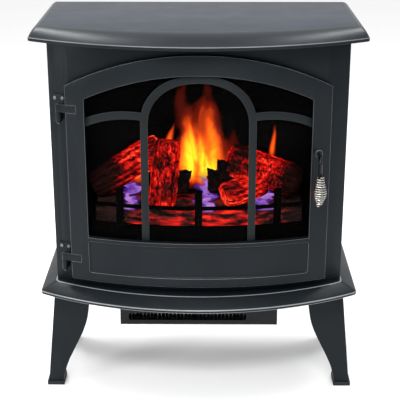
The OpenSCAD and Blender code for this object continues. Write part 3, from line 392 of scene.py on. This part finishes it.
bpy.ops.object.select_all(action="DESELECT")
bpy.ops.mesh.primitive_cube_add(size=2, location=(0, 0, 0))
embers = bpy.context.object
embers.name = "ember_bed_shell"
bpy.ops.object.mode_set(mode="EDIT")
bpy.ops.mesh.select_all(action="SELECT")
bpy.ops.mesh.subdivide(number_cuts=bed_cuts)
bpy.ops.object.mode_set(mode="OBJECT")
heat = embers.data.attributes.new("heat", "FLOAT", "POINT")
for v in embers.data.vertices:
    x = v.co.x * (bed_half - wall_gap)
    front = bowed(x, bed_radius) + 2 * wall_gap
    y = front + (bed_high[1] - wall_gap - front) * (v.co.y + 1) / 2
    z = bed_floor + (bed_top - 0.003 - bed_floor) * (v.co.z + 1) / 2
    spot = Vector((x, y, z))
    lump = cracks(Vector((x * 0.7, y, z * 1.5)) + Vector((0.3, 0.2, 0.1)), lump_size)
    fine = noise.fractal(spot * 260, 0.6, 2, 3)
    rise = lump_rise * lump + grit_rise * fine
    heat.data[v.index].value = 1 - lump
    if v.co.z > 0.999:
        spot.z += rise
    if v.co.y < -0.999:
        spot.y -= rise * 0.6
    if v.co.z < 0.999 or v.co.y > 0.999:
        spot.z = min(spot.z, bed_top - 0.0005)
    v.co = spot


def gas_light(place, level, height):
    """Masks of the blue flames that stand at their places along the bed."""
    waver = (place.grain(38, 3, (1, 1, 2.2)) - 0.5) * 0.055
    total = 0.0
    for x, wide in blue_spots:
        off = (place.along("X") + waver - x).size()
        total = (1 - off.step(wide * 0.35, wide * 1.25)) + total
    return total * (1 - (place.along("Z") + waver * 0.6).step(level, level + height))


ember_resin, shader, place = finish("ember_resin", roughness=0.55, specular_ior_level=0.02,
                                    emission_strength=1.5)
heat_of = place.node("Attribute", out="Fac", attribute_name="heat")
veins = place.grain(75, 5, (0.5, 1, 1.8)).step(0.34, 0.68)
wide_glow = place.grain(14, 2).step(0.33, 0.6)
fade = 1 - (place.along("X") - 0.01).size().step(0.110, 0.164)
back = place.along("Y").step(-0.078, -0.062)
glow = (0.12 + heat_of * 0.34 + veins * 0.42) * (0.45 + 0.60 * wide_glow) * (0.2 + 0.8 * fade)
lit = (glow * (1 - back * 0.5)).ramp(
    (0.14, (0.0, 0.0, 0.0)), (0.26, (0.12, 0.0008, 0.0006)), (0.40, (0.50, 0.003, 0.002)),
    (0.60, (0.95, 0.030, 0.008)), (0.85, (1.0, 0.26, 0.09)))
blue = gas_light(place, bed_top + 0.02, 0.02)
crown = place.along("Z").step(bed_top - 0.006, bed_top - 0.003)
gas = (blue * (0.55 + 0.6 * place.grain(60))).ramp(
    (0.1, (0, 0, 0)), (0.4, (0.016, 0.003, 0.06)), (0.75, (0.08, 0.020, 0.24)), (1.0, (0.38, 0.18, 0.50)))
wire(shader, base_color=veins.blend((0.006, 0.004, 0.004), (0.03, 0.010, 0.008)),
     emission_color=(blue * crown).blend(lit, gas), normal=bump(veins, 0.0006))
dress(embers, "cabinet", "ember_resin", ember_resin)
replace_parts(embers, "ember_bed")

# ---- logs ----
# Four hollow logs of the same resin: bark split in long grooves on two, flaking in plates on
# the others, painted dark in the grooves so that only the raised bark glows.
bark_red = ((0.22, (0, 0, 0)), (0.35, (0.06, 0.0005, 0.0005)), (0.49, (0.30, 0.0012, 0.0010)),
            (0.70, (0.70, 0.010, 0.004)), (0.94, (1.0, 0.17, 0.06)))


def log_finish(name, mottle, strength, streak, share=1.0):
    """Lit resin bark: the attribute bark says how raised the surface is, share how much glows."""
    made, shader, place = finish(name, roughness=0.6, specular_ior_level=0.0, emission_strength=strength)
    raised = place.node("Attribute", out="Fac", attribute_name="bark")
    speckle = place.grain(mottle, 6, streak, Roughness=0.68).step(0.34, 0.68)
    flecks = place.grain(mottle * 2.6, 3, streak, Roughness=0.6).step(0.52, 0.70)
    broad = place.grain(17, 2).step(0.32, 0.62)
    fade = 1 - (place.along("X") - 0.004).size().step(0.116, 0.162)
    glow = (0.04 + raised * 0.44 + speckle * 0.46) * (0.42 + 0.66 * broad) * (0.25 + 0.75 * fade)
    glow = (glow + flecks * raised * broad * fade * 0.40) * share
    wire(shader, base_color=raised.blend((0.003, 0.002, 0.002), (0.022, 0.005, 0.004)),
         emission_color=glow.ramp(*bark_red), normal=bump(speckle, 0.0008))
    return made


def split_edges(mesh, wanted, cuts):
    """Cuts every edge whose two ends satisfy wanted."""
    bpy.ops.object.mode_set(mode="EDIT")
    bpy.ops.mesh.select_mode(type="EDGE")
    bpy.ops.mesh.select_all(action="DESELECT")
    bpy.ops.object.mode_set(mode="OBJECT")
    for e in mesh.edges:
        e.select = wanted(*(mesh.vertices[i].co for i in e.vertices))
    bpy.ops.object.mode_set(mode="EDIT")
    bpy.ops.mesh.subdivide(number_cuts=cuts)
    bpy.ops.object.mode_set(mode="OBJECT")


def bark_log(name, node, start, end, radius, grooves, plates, seed, ends, made):
    """A log from start to end: grooved lengthwise or, by the share plates, cracked in plates."""
    start, end = Vector(start), Vector(end)
    length, pace, rim, end_shrink = (end - start).length, 0.0010, 0.97, 0.80
    bpy.ops.object.select_all(action="DESELECT")
    bpy.ops.mesh.primitive_cylinder_add(vertices=128, radius=radius, depth=length, end_fill_type="NGON")
    obj = bpy.context.object
    obj.name = name
    mesh = obj.data
    bpy.ops.object.mode_set(mode="EDIT")
    bpy.ops.mesh.select_mode(type="FACE")
    bpy.ops.mesh.select_all(action="DESELECT")
    bpy.ops.object.mode_set(mode="OBJECT")
    for f in mesh.polygons:
        f.select = len(f.vertices) > 4
    bpy.ops.object.mode_set(mode="EDIT")
    bpy.ops.mesh.poke()
    split_edges(mesh, lambda a, b: min(a.xy.length, b.xy.length) < radius / 2, 12)
    split_edges(mesh, lambda a, b: abs(a.z - b.z) > length / 2, int(length / pace))
    raised = mesh.attributes.new("bark", "FLOAT", "POINT")
    shift = Vector((seed * 1.7, seed * 2.3, seed * 3.1))
    for v in mesh.vertices:
        co = v.co.copy()
        out = math.hypot(co.x, co.y) / radius
        turn = math.atan2(co.y, co.x)
        along = co.z
        around = Vector((math.cos(turn), math.sin(turn), 0))
        wander = (noise.noise(Vector((along * 22, turn, seed)))
                  + 0.5 * noise.noise(Vector((along * 60, turn * 3, seed))))
        ridge = abs(math.sin(turn * grooves + 1.6 * wander + seed)) ** 0.8
        ridge *= 0.72 + 0.5 * noise.noise(Vector((along * 45, turn * 2.2, seed + 4)))
        ridge = max(0.0, min(1.0, ridge))
        plate = cracks(Vector((around.x * radius, around.y * radius, along * 0.55)) + shift, 0.010)
        high = ridge * (1 - plates) + plate * plates
        if out > rim:
            depth = 0.15 * (1 - high) + 0.05 * (1 + noise.noise(co * 60 + shift))
            depth += 0.16 * abs(2 * along / length) ** 10 * (1 + noise.noise(around * 2 + shift))
            v.co.x, v.co.y = co.x * (1 - depth), co.y * (1 - depth)
            raised.data[v.index].value = high
        else:
            rings = 0.5 + 0.5 * math.sin(out * 26 + 2.2 * noise.noise(co * 90 + shift))
            lift = ends * radius * (0.6 * noise.noise(Vector((co.x, co.y, 0)) * 75 + shift) + 0.25 * rings)
            v.co.z += math.copysign(1, co.z) * (min(0, lift) - 0.001 * (1 - rings))
            v.co.x, v.co.y = co.x * end_shrink, co.y * end_shrink
            raised.data[v.index].value = 0.35 + 0.6 * rings
    lean = (end - start).to_track_quat("Z", "Y").to_matrix().to_4x4()
    mesh.transform(Matrix.Translation((start + end) / 2) @ lean)
    dress(obj, "cabinet", "log_resin", made, angle=60)
    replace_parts(obj, node)


grooved_bark = log_finish("log_resin_grooved", 210, 1.5, (0.45, 1, 1))
plated_bark = log_finish("log_resin_plated", 330, 1.7, (1, 1, 0.5))
bark_log("left_log", "log_left", (-0.168, -0.012, bed_top + 0.016), (-0.062, -0.020, bed_top + 0.084),
         0.0275, 7, 0.08, 3, 0.25, grooved_bark)
bark_log("upright_log", "log_centre", (-0.060, -0.052, bed_top - 0.012), (-0.049, -0.032, bed_top + 0.098),
         0.0245, 5, 0.5, 11, 0.5, plated_bark)
bark_log("right_log", "log_right", (0.048, -0.026, bed_top + 0.068), (0.160, -0.018, bed_top + 0.024),
         0.030, 6, 0.4, 23, 0.3, plated_bark)
bark_log("front_log", "log_front", (0.040, -0.055, bed_top + 0.012), (0.104, -0.026, bed_top + 0.028),
         0.0235, 6, 0.08, 31, 0.2, grooved_bark)

# ---- charred stumps ----
# Three blocky stumps burnt black, of the same resin painted solid, that hide the foot of the
# flame between the logs.
charred = log_finish("log_resin_charred", 150, 1.0, (1, 1, 0.6), 0.35)
for number, (x, y, low, wide, tall) in enumerate(((-0.026, -0.040, 0.016, 0.010, 0.034),
                                                  (0.022, -0.042, 0.018, 0.008, 0.034),
                                                  (0.037, -0.036, 0.022, 0.011, 0.044))):
    bpy.ops.object.select_all(action="DESELECT")
    bpy.ops.mesh.primitive_cube_add(size=1, location=(0, 0, 0))
    stump = bpy.context.object
    stump.name = "charred_stump_%d" % (number + 1)
    bpy.ops.object.mode_set(mode="EDIT")
    bpy.ops.mesh.select_all(action="SELECT")
    bpy.ops.mesh.subdivide(number_cuts=14)
    bpy.ops.object.mode_set(mode="OBJECT")
    burnt = stump.data.attributes.new("bark", "FLOAT", "POINT")
    for v in stump.data.vertices:
        spot = Vector((v.co.x * wide * 2, v.co.y * wide * 1.6, v.co.z * tall))
        rough = noise.fractal(spot * 130 + Vector((number * 3, 0, 0)), 0.7, 2, 4)
        spot += Vector((v.co.x, v.co.y, v.co.z * 2)).normalized() * (rough * 0.0034 - 0.0016)
        spot.x += (0.5, -0.1, 0.35)[number] * (v.co.z + 0.5) * wide
        burnt.data[v.index].value = max(0.0, 0.16 + 0.5 * rough) * (0.5 - v.co.z)
        v.co = spot + Vector((x, y, bed_top + low + tall / 2))
    dress(stump, "cabinet", "log_resin", charred, angle=50)

# ---- grate ----
# The bar grate in front of the embers: flat black bar on three posts, brush painted.
dress(softened("grate", "ember_grate", 0.0006, 2), "cabinet", "black_sheet", soot, soot)

# ---- flame screen ----
# A smoked acrylic sheet behind the logs. The turning foil strips behind it throw the flame
# picture on it: a yellow heart, orange edges and thin red tongues, blue down at the logs.
acrylic, shader, place = finish("screen_acrylic", roughness=0.25, specular_ior_level=0.005,
                                emission_strength=1.25)
across, height = place.along("X"), place.along("Z")


def tongue(x, low, top, wide, lean=0.0, sway=0.010, grain=16, belly=1.7):
    """One flame: 1 in its heart, 0 outside, narrowing and fading upwards."""
    share = (height - low) / (top - low)
    share = share.sum("MAXIMUM", share, 0.0)
    share = share.sum("MINIMUM", share, 1.0)
    waver = (place.grain(grain, 3, (1, 1, 0.5), Distortion=0.5) - 0.5) * (sway * 2)
    off = (across - x - (share * lean) + waver * (0.6 + share)).size()
    half = (1 - share ** belly) * wide + 0.0008
    body = 1 - (off / half).step(0.05, 1.05)
    return body * (1 - share ** 2.6) * height.step(low - 0.012, low + 0.012)


big = (1.15 * tongue(0.003, 0.334, 0.488, 0.050, 0.0, 0.018, 26, 4.0)
       + 0.26 * tongue(0.012, 0.350, 0.540, 0.036, 0.002, 0.022, 30))
heart = (tongue(-0.015, 0.346, 0.440, 0.027, 0.002, 0.014, 34, 2.4)
         + tongue(0.021, 0.352, 0.452, 0.024, -0.004, 0.014, 34, 2.4))
lick = (tongue(-0.052, 0.398, 0.440, 0.009, 0.012, 0.004)
        + tongue(0.118, 0.385, 0.440, 0.007, 0.003, 0.004)
        + 0.2 * tongue(-0.026, 0.430, 0.530, 0.020, -0.002, 0.016, 30)
        + 0.25 * tongue(0.052, 0.350, 0.440, 0.034, 0.004)
        + 0.8 * tongue(0.086, 0.338, 0.380, 0.012, 0.0, 0.006)
        + 0.8 * tongue(-0.100, 0.338, 0.376, 0.016, 0.006, 0.006))
torn = place.grain(30, 4, (1, 1, 0.38), Distortion=0.7).step(0.30, 0.66)
flame = big * (0.18 + 0.26 * torn) + heart * (0.16 + 0.34 * torn) + lick * 0.34
fire = flame.ramp((0.02, (0.0, 0.0, 0.0)), (0.13, (0.16, 0.008, 0.002)), (0.27, (0.80, 0.07, 0.005)),
                  (0.42, (1.0, 0.22, 0.008)), (0.60, (1.0, 0.50, 0.012)), (0.80, (1.0, 0.86, 0.03)))
blue = gas_light(place, bed_top + 0.010, 0.030)
gas = (blue * (0.55 + 0.6 * place.grain(60))).ramp(
    (0.1, (0, 0, 0)), (0.4, (0.016, 0.003, 0.07)), (0.75, (0.085, 0.020, 0.27)), (1.0, (0.42, 0.20, 0.58)))
wire(shader, base_color=place.grain(20).blend((0.001, 0.001, 0.001), (0.002, 0.002, 0.002)),
     emission_color=blue.blend(fire, gas), roughness=0.2 + 0.1 * place.grain(50))
coat("flame_screen", acrylic)
foil = metal("reflector_foil", (0.60, 0.60, 0.62), (0.85, 0.85, 0.86), 0.18, 90)
coat("flame_rotor", foil)
motor_steel = metal("motor_steel", (0.25, 0.25, 0.26), (0.42, 0.42, 0.43), 0.42, 160, (1, 1, 6))
for node in ("rotor_motor", "blower_motor"):
    coat(node, motor_steel)
for node in ("rotor_bush", "blower_bush", "thermal_cutout", "thermostat_body", "dimmer_body"):
    coat(node, gland_plastic)

# ---- controls ----
# Behind the door's lower rail: a black plate with two turned-edge dials for heat and flame and
# three rocker switches between them, moulded in black plastic.
dress(softened("control_panel", "control_plate", 0.0005, 2), "cabinet", "black_sheet",
      black_sheet, black_sheet)
dial_plastic = moulded("control_plastic", (0.010, 0.010, 0.011), (0.018, 0.018, 0.019), 0.42)
for node, body, name in (("thermostat_knob", "thermostat_dial", "heat_dial"),
                         ("dimmer_knob", "dimmer_dial", "flame_dial"),
                         ("flame_switch", "flame_rocker", "flame_rocker_key"),
                         ("low_heat_switch", "low_rocker", "low_heat_rocker_key"),
                         ("high_heat_switch", "high_rocker", "high_heat_rocker_key")):
    dress(softened(node, name, 0.0005, 2), body, "control_plastic", dial_plastic, dial_plastic)
board, shader, place = finish("circuit_board", roughness=0.4, specular_ior_level=0.4)
tracks = place.node("TexBrick", {"Vector": place, "Color1": (1, 1, 1, 1), "Color2": (0.7, 0.7, 0.7, 1),
                                 "Mortar": (0, 0, 0, 1), "Scale": 110.0, "Mortar Size": 0.03}, out="Fac")
wire(shader, base_color=tracks.blend((0.010, 0.060, 0.022), (0.020, 0.110, 0.040)),
     normal=bump(tracks, 0.00005))
coat("control_board", board)

# ---- heater ----
# The blower and its ribbon element in a folded box under the ledge; the warm air leaves by the
# long slot at the left of its front.
dress(softened("heater_box", "heater_case", 0.0008, 2), "cabinet", "black_sheet", black_sheet, black_sheet)
coat("outlet_grille", soot)
coat("blower_wheel", soot)
coat("heating_element", zinc)

# ---- door ----
# A bowed cast door with an arched head, a sunk panel in the lower rail and a deep reveal round
# the window; clips and screws behind hold the glass and the arched overlay bars.
arch_middle, door_face = 0.17189, 0.570
door_half, door_foot, head_radius, door_depth = 0.202, 0.208, 0.40481, 0.0135
window_half, window_foot, window_radius, rebate = 0.173, 0.281, 0.37481, 0.005


def block(low, high):
    """A plain block between two corners, to be cut."""
    bpy.ops.object.select_all(action="DESELECT")
    middle = [(a + b) / 2 for a, b in zip(low, high)]
    bpy.ops.mesh.primitive_cube_add(size=1, location=middle, scale=[b - a for a, b in zip(low, high)])
    bpy.ops.object.transform_apply(location=True, rotation=True, scale=True)
    return bpy.context.object


def cut(obj, cutter, how="DIFFERENCE"):
    """Cuts one block with another, which is used up."""
    press(obj, "BOOLEAN", operation=how, object=cutter, solver="EXACT")
    bpy.data.objects.remove(cutter)
    return obj


def arched_block(half, low, radius, front, back):
    """A block with an arched head, made flat: its depth runs along Y from front to back."""
    bpy.ops.object.select_all(action="DESELECT")
    bpy.ops.mesh.primitive_cylinder_add(vertices=640, radius=radius, depth=back - front + 0.004,
                                        location=(0, (front + back) / 2, arch_middle),
                                        rotation=(math.pi / 2, 0, 0))
    arch = bpy.context.object
    bpy.ops.object.transform_apply(location=True, rotation=True, scale=True)
    return cut(block((-half, front, low), (half, back, arch_middle + radius + 0.002)), arch, "INTERSECT")


def bow(obj, face_radius, half, pace=0.008):
    """Bends a piece made flat to the bow of the cabinet, its face to this radius."""
    alone(obj)
    bpy.ops.object.mode_set(mode="EDIT")
    steps = int(half / pace)
    for i in range(-steps, steps + 1):
        bpy.ops.mesh.select_all(action="SELECT")
        bpy.ops.mesh.bisect(plane_co=(i * pace + 0.0003, 0, 0), plane_no=(1, 0, 0))
    bpy.ops.object.mode_set(mode="OBJECT")
    for v in obj.data.vertices:
        v.co.y = bowed(v.co.x, face_radius - v.co.y)
    return obj


door = arched_block(door_half, door_foot, head_radius, 0, door_depth)
cut(door, arched_block(window_half, window_foot, window_radius, -0.002, 0.020))
cut(door, arched_block(window_half + rebate, window_foot - rebate, window_radius + rebate, 0.010, 0.020))
panel = block((-window_half, -0.005, 0.222), (window_half, 0.003, 0.275))
press(panel, "BEVEL", width=0.005, segments=5, limit_method="ANGLE")
cut(door, panel)
for node in ("hinge_arm_upper", "hinge_arm_lower"):
    low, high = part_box(node)
    cut(door, block((-0.21, -0.003, low[2] - 0.0002), (high[0] + 0.0003, 0.0031, high[2] + 0.0002)))
door.name = "arched_door"
fold_edges(door, 0.0011, 3)
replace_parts(bow(door, door_face, door_half), "door_frame")
dress(door, "door", "charcoal_enamel", charcoal, charcoal_edge_highlight)
bar_enamel = enamel("grille_enamel", (0.0065, 0.0086, 0.0094), (0.0100, 0.0122, 0.0130), 0.44, 0.12)
# The bars' rounded edges get a paler enamel: a painted highlight.
bar_edge_highlight = enamel("grille_enamel_edge_highlight", (0.022, 0.026, 0.027), (0.032, 0.036, 0.037), 0.36, 0.3)
dress(softened("door_grille", "arched_bars", 0.0006, 2), "door", "grille_enamel", bar_enamel, bar_edge_highlight)
glass, shader, place = finish("door_glazing", roughness=0.04, specular_ior_level=0.3, alpha=0.012)
wire(shader, base_color=place.grain(12).blend((0.0010, 0.0010, 0.0010), (0.0016, 0.0015, 0.0014)))
coat("door_glass", glass)
coat("glass_clips", soot)
coat("clip_screws", zinc)
ferrite = moulded("magnet_ferrite", (0.012, 0.012, 0.013), (0.026, 0.025, 0.025), 0.6)
coat("door_magnet", ferrite)
coat("strike_plate", zinc)

# ---- hinges ----
# Two strap arms fixed to the door turn on steel pins in barrels that stand off the cabinet.
# The straps' and barrels' rounded edges get the dim pale enamel, a painted highlight.
for node, body, name in (("hinge_arm_upper", "door", "upper_hinge_strap"),
                         ("hinge_arm_lower", "door", "lower_hinge_strap"),
                         ("hinge_bracket_upper", "cabinet", "upper_hinge_barrel"),
                         ("hinge_bracket_lower", "cabinet", "lower_hinge_barrel")):
    dress(softened(node, name, 0.0005, 2), body, "charcoal_enamel", charcoal, dim_edge_highlight)
coat("hinge_pins", black_screw)

# ---- handle ----
# A bent black rod through a bush in the door; its grip is one spring of bright nickelled wire,
# wound tight, widest low down and drawn in to a small tip.
rod_black = metal("black_rod", (0.010, 0.010, 0.011), (0.030, 0.030, 0.031), 0.30, 500, (1, 1, 0.2))
dress(softened("handle_rod", "bent_handle_rod", 0.0003, 1, 40), "handle", "black_rod", rod_black, rod_black)
dress(softened("handle_bush", "handle_collar", 0.0005, 2), "door", "charcoal_enamel",
      charcoal, charcoal_edge_highlight)
coat("handle_cam", zinc)
grip_low, grip_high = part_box("handle_grip")
grip_x, grip_y = (grip_low[0] + grip_high[0]) / 2, (grip_low[1] + grip_high[1]) / 2
wire_d, grip_turns, turn_points = 0.0023, 13, 40
top_radius, wide_radius, tip_radius, wide_at = 0.0065, 0.0110, 0.0050, 0.58
core_radius, core_length = 0.0030, 0.046


def eased(t):
    """A share from 0 to 1 that starts and ends gently."""
    return t * t * (3 - 2 * t)


def coil_radius(t):
    """Outside radius of the spring, from its top (0) to its tip (1)."""
    if t < wide_at:
        return top_radius + (wide_radius - top_radius) * eased(t / wide_at)
    return tip_radius + (wide_radius - tip_radius) * eased((1 - t) / (1 - wide_at))


bpy.ops.object.select_all(action="DESELECT")
bpy.ops.curve.primitive_bezier_curve_add(location=(0, 0, 0))
spring = bpy.context.object
spring.name = "spring_grip"
curve = spring.data
curve.splines.clear()
count = grip_turns * turn_points + 1
line = curve.splines.new("POLY")
line.points.add(count - 1)
for i, point in enumerate(line.points):
    t = i / (count - 1)
    turn = 2 * math.pi * i / turn_points - math.pi / 2
    reach = coil_radius(t) - wire_d / 2 - 0.0001
    level = grip_high[2] - wire_d / 2 - 0.0002 + t * (grip_low[2] - grip_high[2] + wire_d + 0.0004)
    point.co = (grip_x + reach * math.cos(turn), grip_y + reach * math.sin(turn), level, 1)
curve.dimensions, curve.bevel_depth, curve.bevel_resolution = "3D", wire_d / 2, 3
curve.use_fill_caps = True
alone(spring)
bpy.ops.object.convert(target="MESH")
bpy.ops.object.mode_set(mode="EDIT")
bpy.ops.mesh.select_all(action="SELECT")
bpy.ops.mesh.remove_doubles(threshold=1e-5)
bpy.ops.object.mode_set(mode="OBJECT")
nickel = metal("nickel_coil", (0.30, 0.29, 0.27), (0.52, 0.50, 0.46), 0.24, 700, (1, 1, 3), 0.00001)
dress(bpy.context.object, "handle", "nickel_coil", nickel)
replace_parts(bpy.context.object, "handle_grip")
# The rod's end runs down inside the spring
bpy.ops.object.select_all(action="DESELECT")
bpy.ops.mesh.primitive_cylinder_add(vertices=48, radius=core_radius, depth=core_length,
                                    location=(grip_x, grip_y, (grip_low[2] + grip_high[2]) / 2 + 0.001))
core = bpy.context.object
core.name = "grip_core"
bpy.ops.object.transform_apply(location=True, rotation=True, scale=True)
press(core, "BEVEL", width=0.0012, segments=3, limit_method="ANGLE")
dress(core, "handle", "black_rod", rod_black)

# ---- top slab ----
# The top plate: a pressed slab with a rolled lip, a rounded shoulder and a broad flat top, in the
# same enamel, a little smoother on top. The flat top is painted lighter and bluer, a painted sheen,
# and the lip carries a paler enamel, a painted highlight.
# A lighter, bluer copy of the enamel for the flat top: a painted sheen of the light on it.
top_painted_sheen = enamel("charcoal_enamel_top_sheen", (0.0115, 0.0165, 0.0260), (0.0165, 0.0220, 0.0335), 0.34, 0.05)
brow_enamel = enamel("charcoal_enamel_brow", (0.0050, 0.0072, 0.0095), (0.0072, 0.0098, 0.0124),
                     0.36, 0.24, 0.00003)
# Pale enamel along the lip: a painted highlight.
top_lip_highlight = enamel("charcoal_enamel_lip_highlight", (0.080, 0.085, 0.090), (0.115, 0.120, 0.126), 0.32, 0.3)
top_low, top_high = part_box("top_plate")
rim_z, rim_rise, rim = top_low[2] + 0.0054, 0.0012, (0.254, -0.1488, 0.0718, 0.150, 0.011)
top = slab("top_slab", [(base_lip, top_low[2]), (base_lip, rim_z - rim_rise), (rim, rim_z)]
           + swept(rim, (0.015, 0.044, 0.050), rim_z, top_high[2], 2.2, 14))
fold_edges(top, 0.0008, 2, 50)
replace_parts(top, "top_plate")
# Material 2, the painted sheen, goes on the flat top face; material 1, the painted highlight, on the lip
# rim; material 3 on the shoulder.
for face in top.data.polygons:
    if face.normal.z > 0.999 and face.center.z > cad_box[1][2] - 0.002:
        face.material_index = 2
    elif abs(face.center.z - rim_z + rim_rise / 2) < rim_rise / 4:
        face.material_index = 1
    elif face.material_index == 0 and face.center.z > rim_z:
        face.material_index = 3
dress(top, "cabinet", "charcoal_enamel", charcoal, top_lip_highlight, top_painted_sheen, brow_enamel, angle=40)

# ---- studio ----
# A pale floor under a broad soft light and a wash for the floor. A strip light at each side
# finds the folded edges, and two soft lights up behind shine on the ends of the top's shoulder.
bpy.ops.object.select_all(action="DESELECT")
bpy.ops.mesh.primitive_plane_add(size=80, location=(0, 0, 0))
ground = bpy.context.object
ground.name = "studio_floor"
paper, shader, place = finish("studio_paper", roughness=0.9, specular_ior_level=0.1)
wire(shader, base_color=place.grain(3).blend((0.93, 0.93, 0.93), (0.96, 0.96, 0.96)))
ground.data.materials.append(paper)

world = bpy.data.worlds.new("studio_air")
world.use_nodes = True
air = Dye(world.node_tree)
wall = air.node("TexCoord", out="Generated").along("X").step(-0.2, 1.0).blend((1.06, 1.06, 1.06),
                                                                             (0.62, 0.62, 0.63))
world.node_tree.links.new(wall.end, world.node_tree.nodes["Background"].inputs["Color"])
bpy.context.scene.world = world


def soft_light(name, at, aim, size, power):
    """A rectangular lamp at a place, aimed at another."""
    lamp = bpy.data.lights.new(name, "AREA")
    lamp.shape, lamp.size, lamp.size_y, lamp.energy = "RECTANGLE", size[0], size[1], power
    obj = bpy.data.objects.new(name, lamp)
    obj.location = at
    obj.rotation_euler = (Vector(aim) - Vector(at)).to_track_quat("-Z", "Y").to_euler()
    bpy.context.collection.objects.link(obj)


soft_light("overhead_soft", (0, -0.5, 2.2), (0, 0, 0.4), (1.2, 0.5), 12)
soft_light("left_crown", (-0.80, 0.60, 1.80), (-0.2, -0.1, 0.6), (0.35, 0.7), 15)
soft_light("right_crown", (0.80, 0.60, 1.80), (0.2, -0.1, 0.6), (0.35, 0.7), 12)
soft_light("left_strip", (-1.6, -1.1, 1.0), (0, 0, 0.4), (0.25, 1.4), 10)
soft_light("right_strip", (1.6, -1.1, 1.0), (0, 0, 0.4), (0.25, 1.4), 0.7)
soft_light("floor_wash", (0, -1.3, 1.5), (0, -0.45, 0), (0.8, 0.3), 20)

camera = bpy.data.objects.new("camera", bpy.data.cameras.new("camera"))
camera.data.lens, camera.data.sensor_width = 96.85, 36
camera.location = (0.01424, -1.66018, 0.91365)
camera.rotation_euler = (math.radians(70.04), 0, math.radians(0.436))
bpy.context.collection.objects.link(camera)
bpy.context.scene.camera = camera
bpy.context.scene.view_settings.view_transform = "Standard"
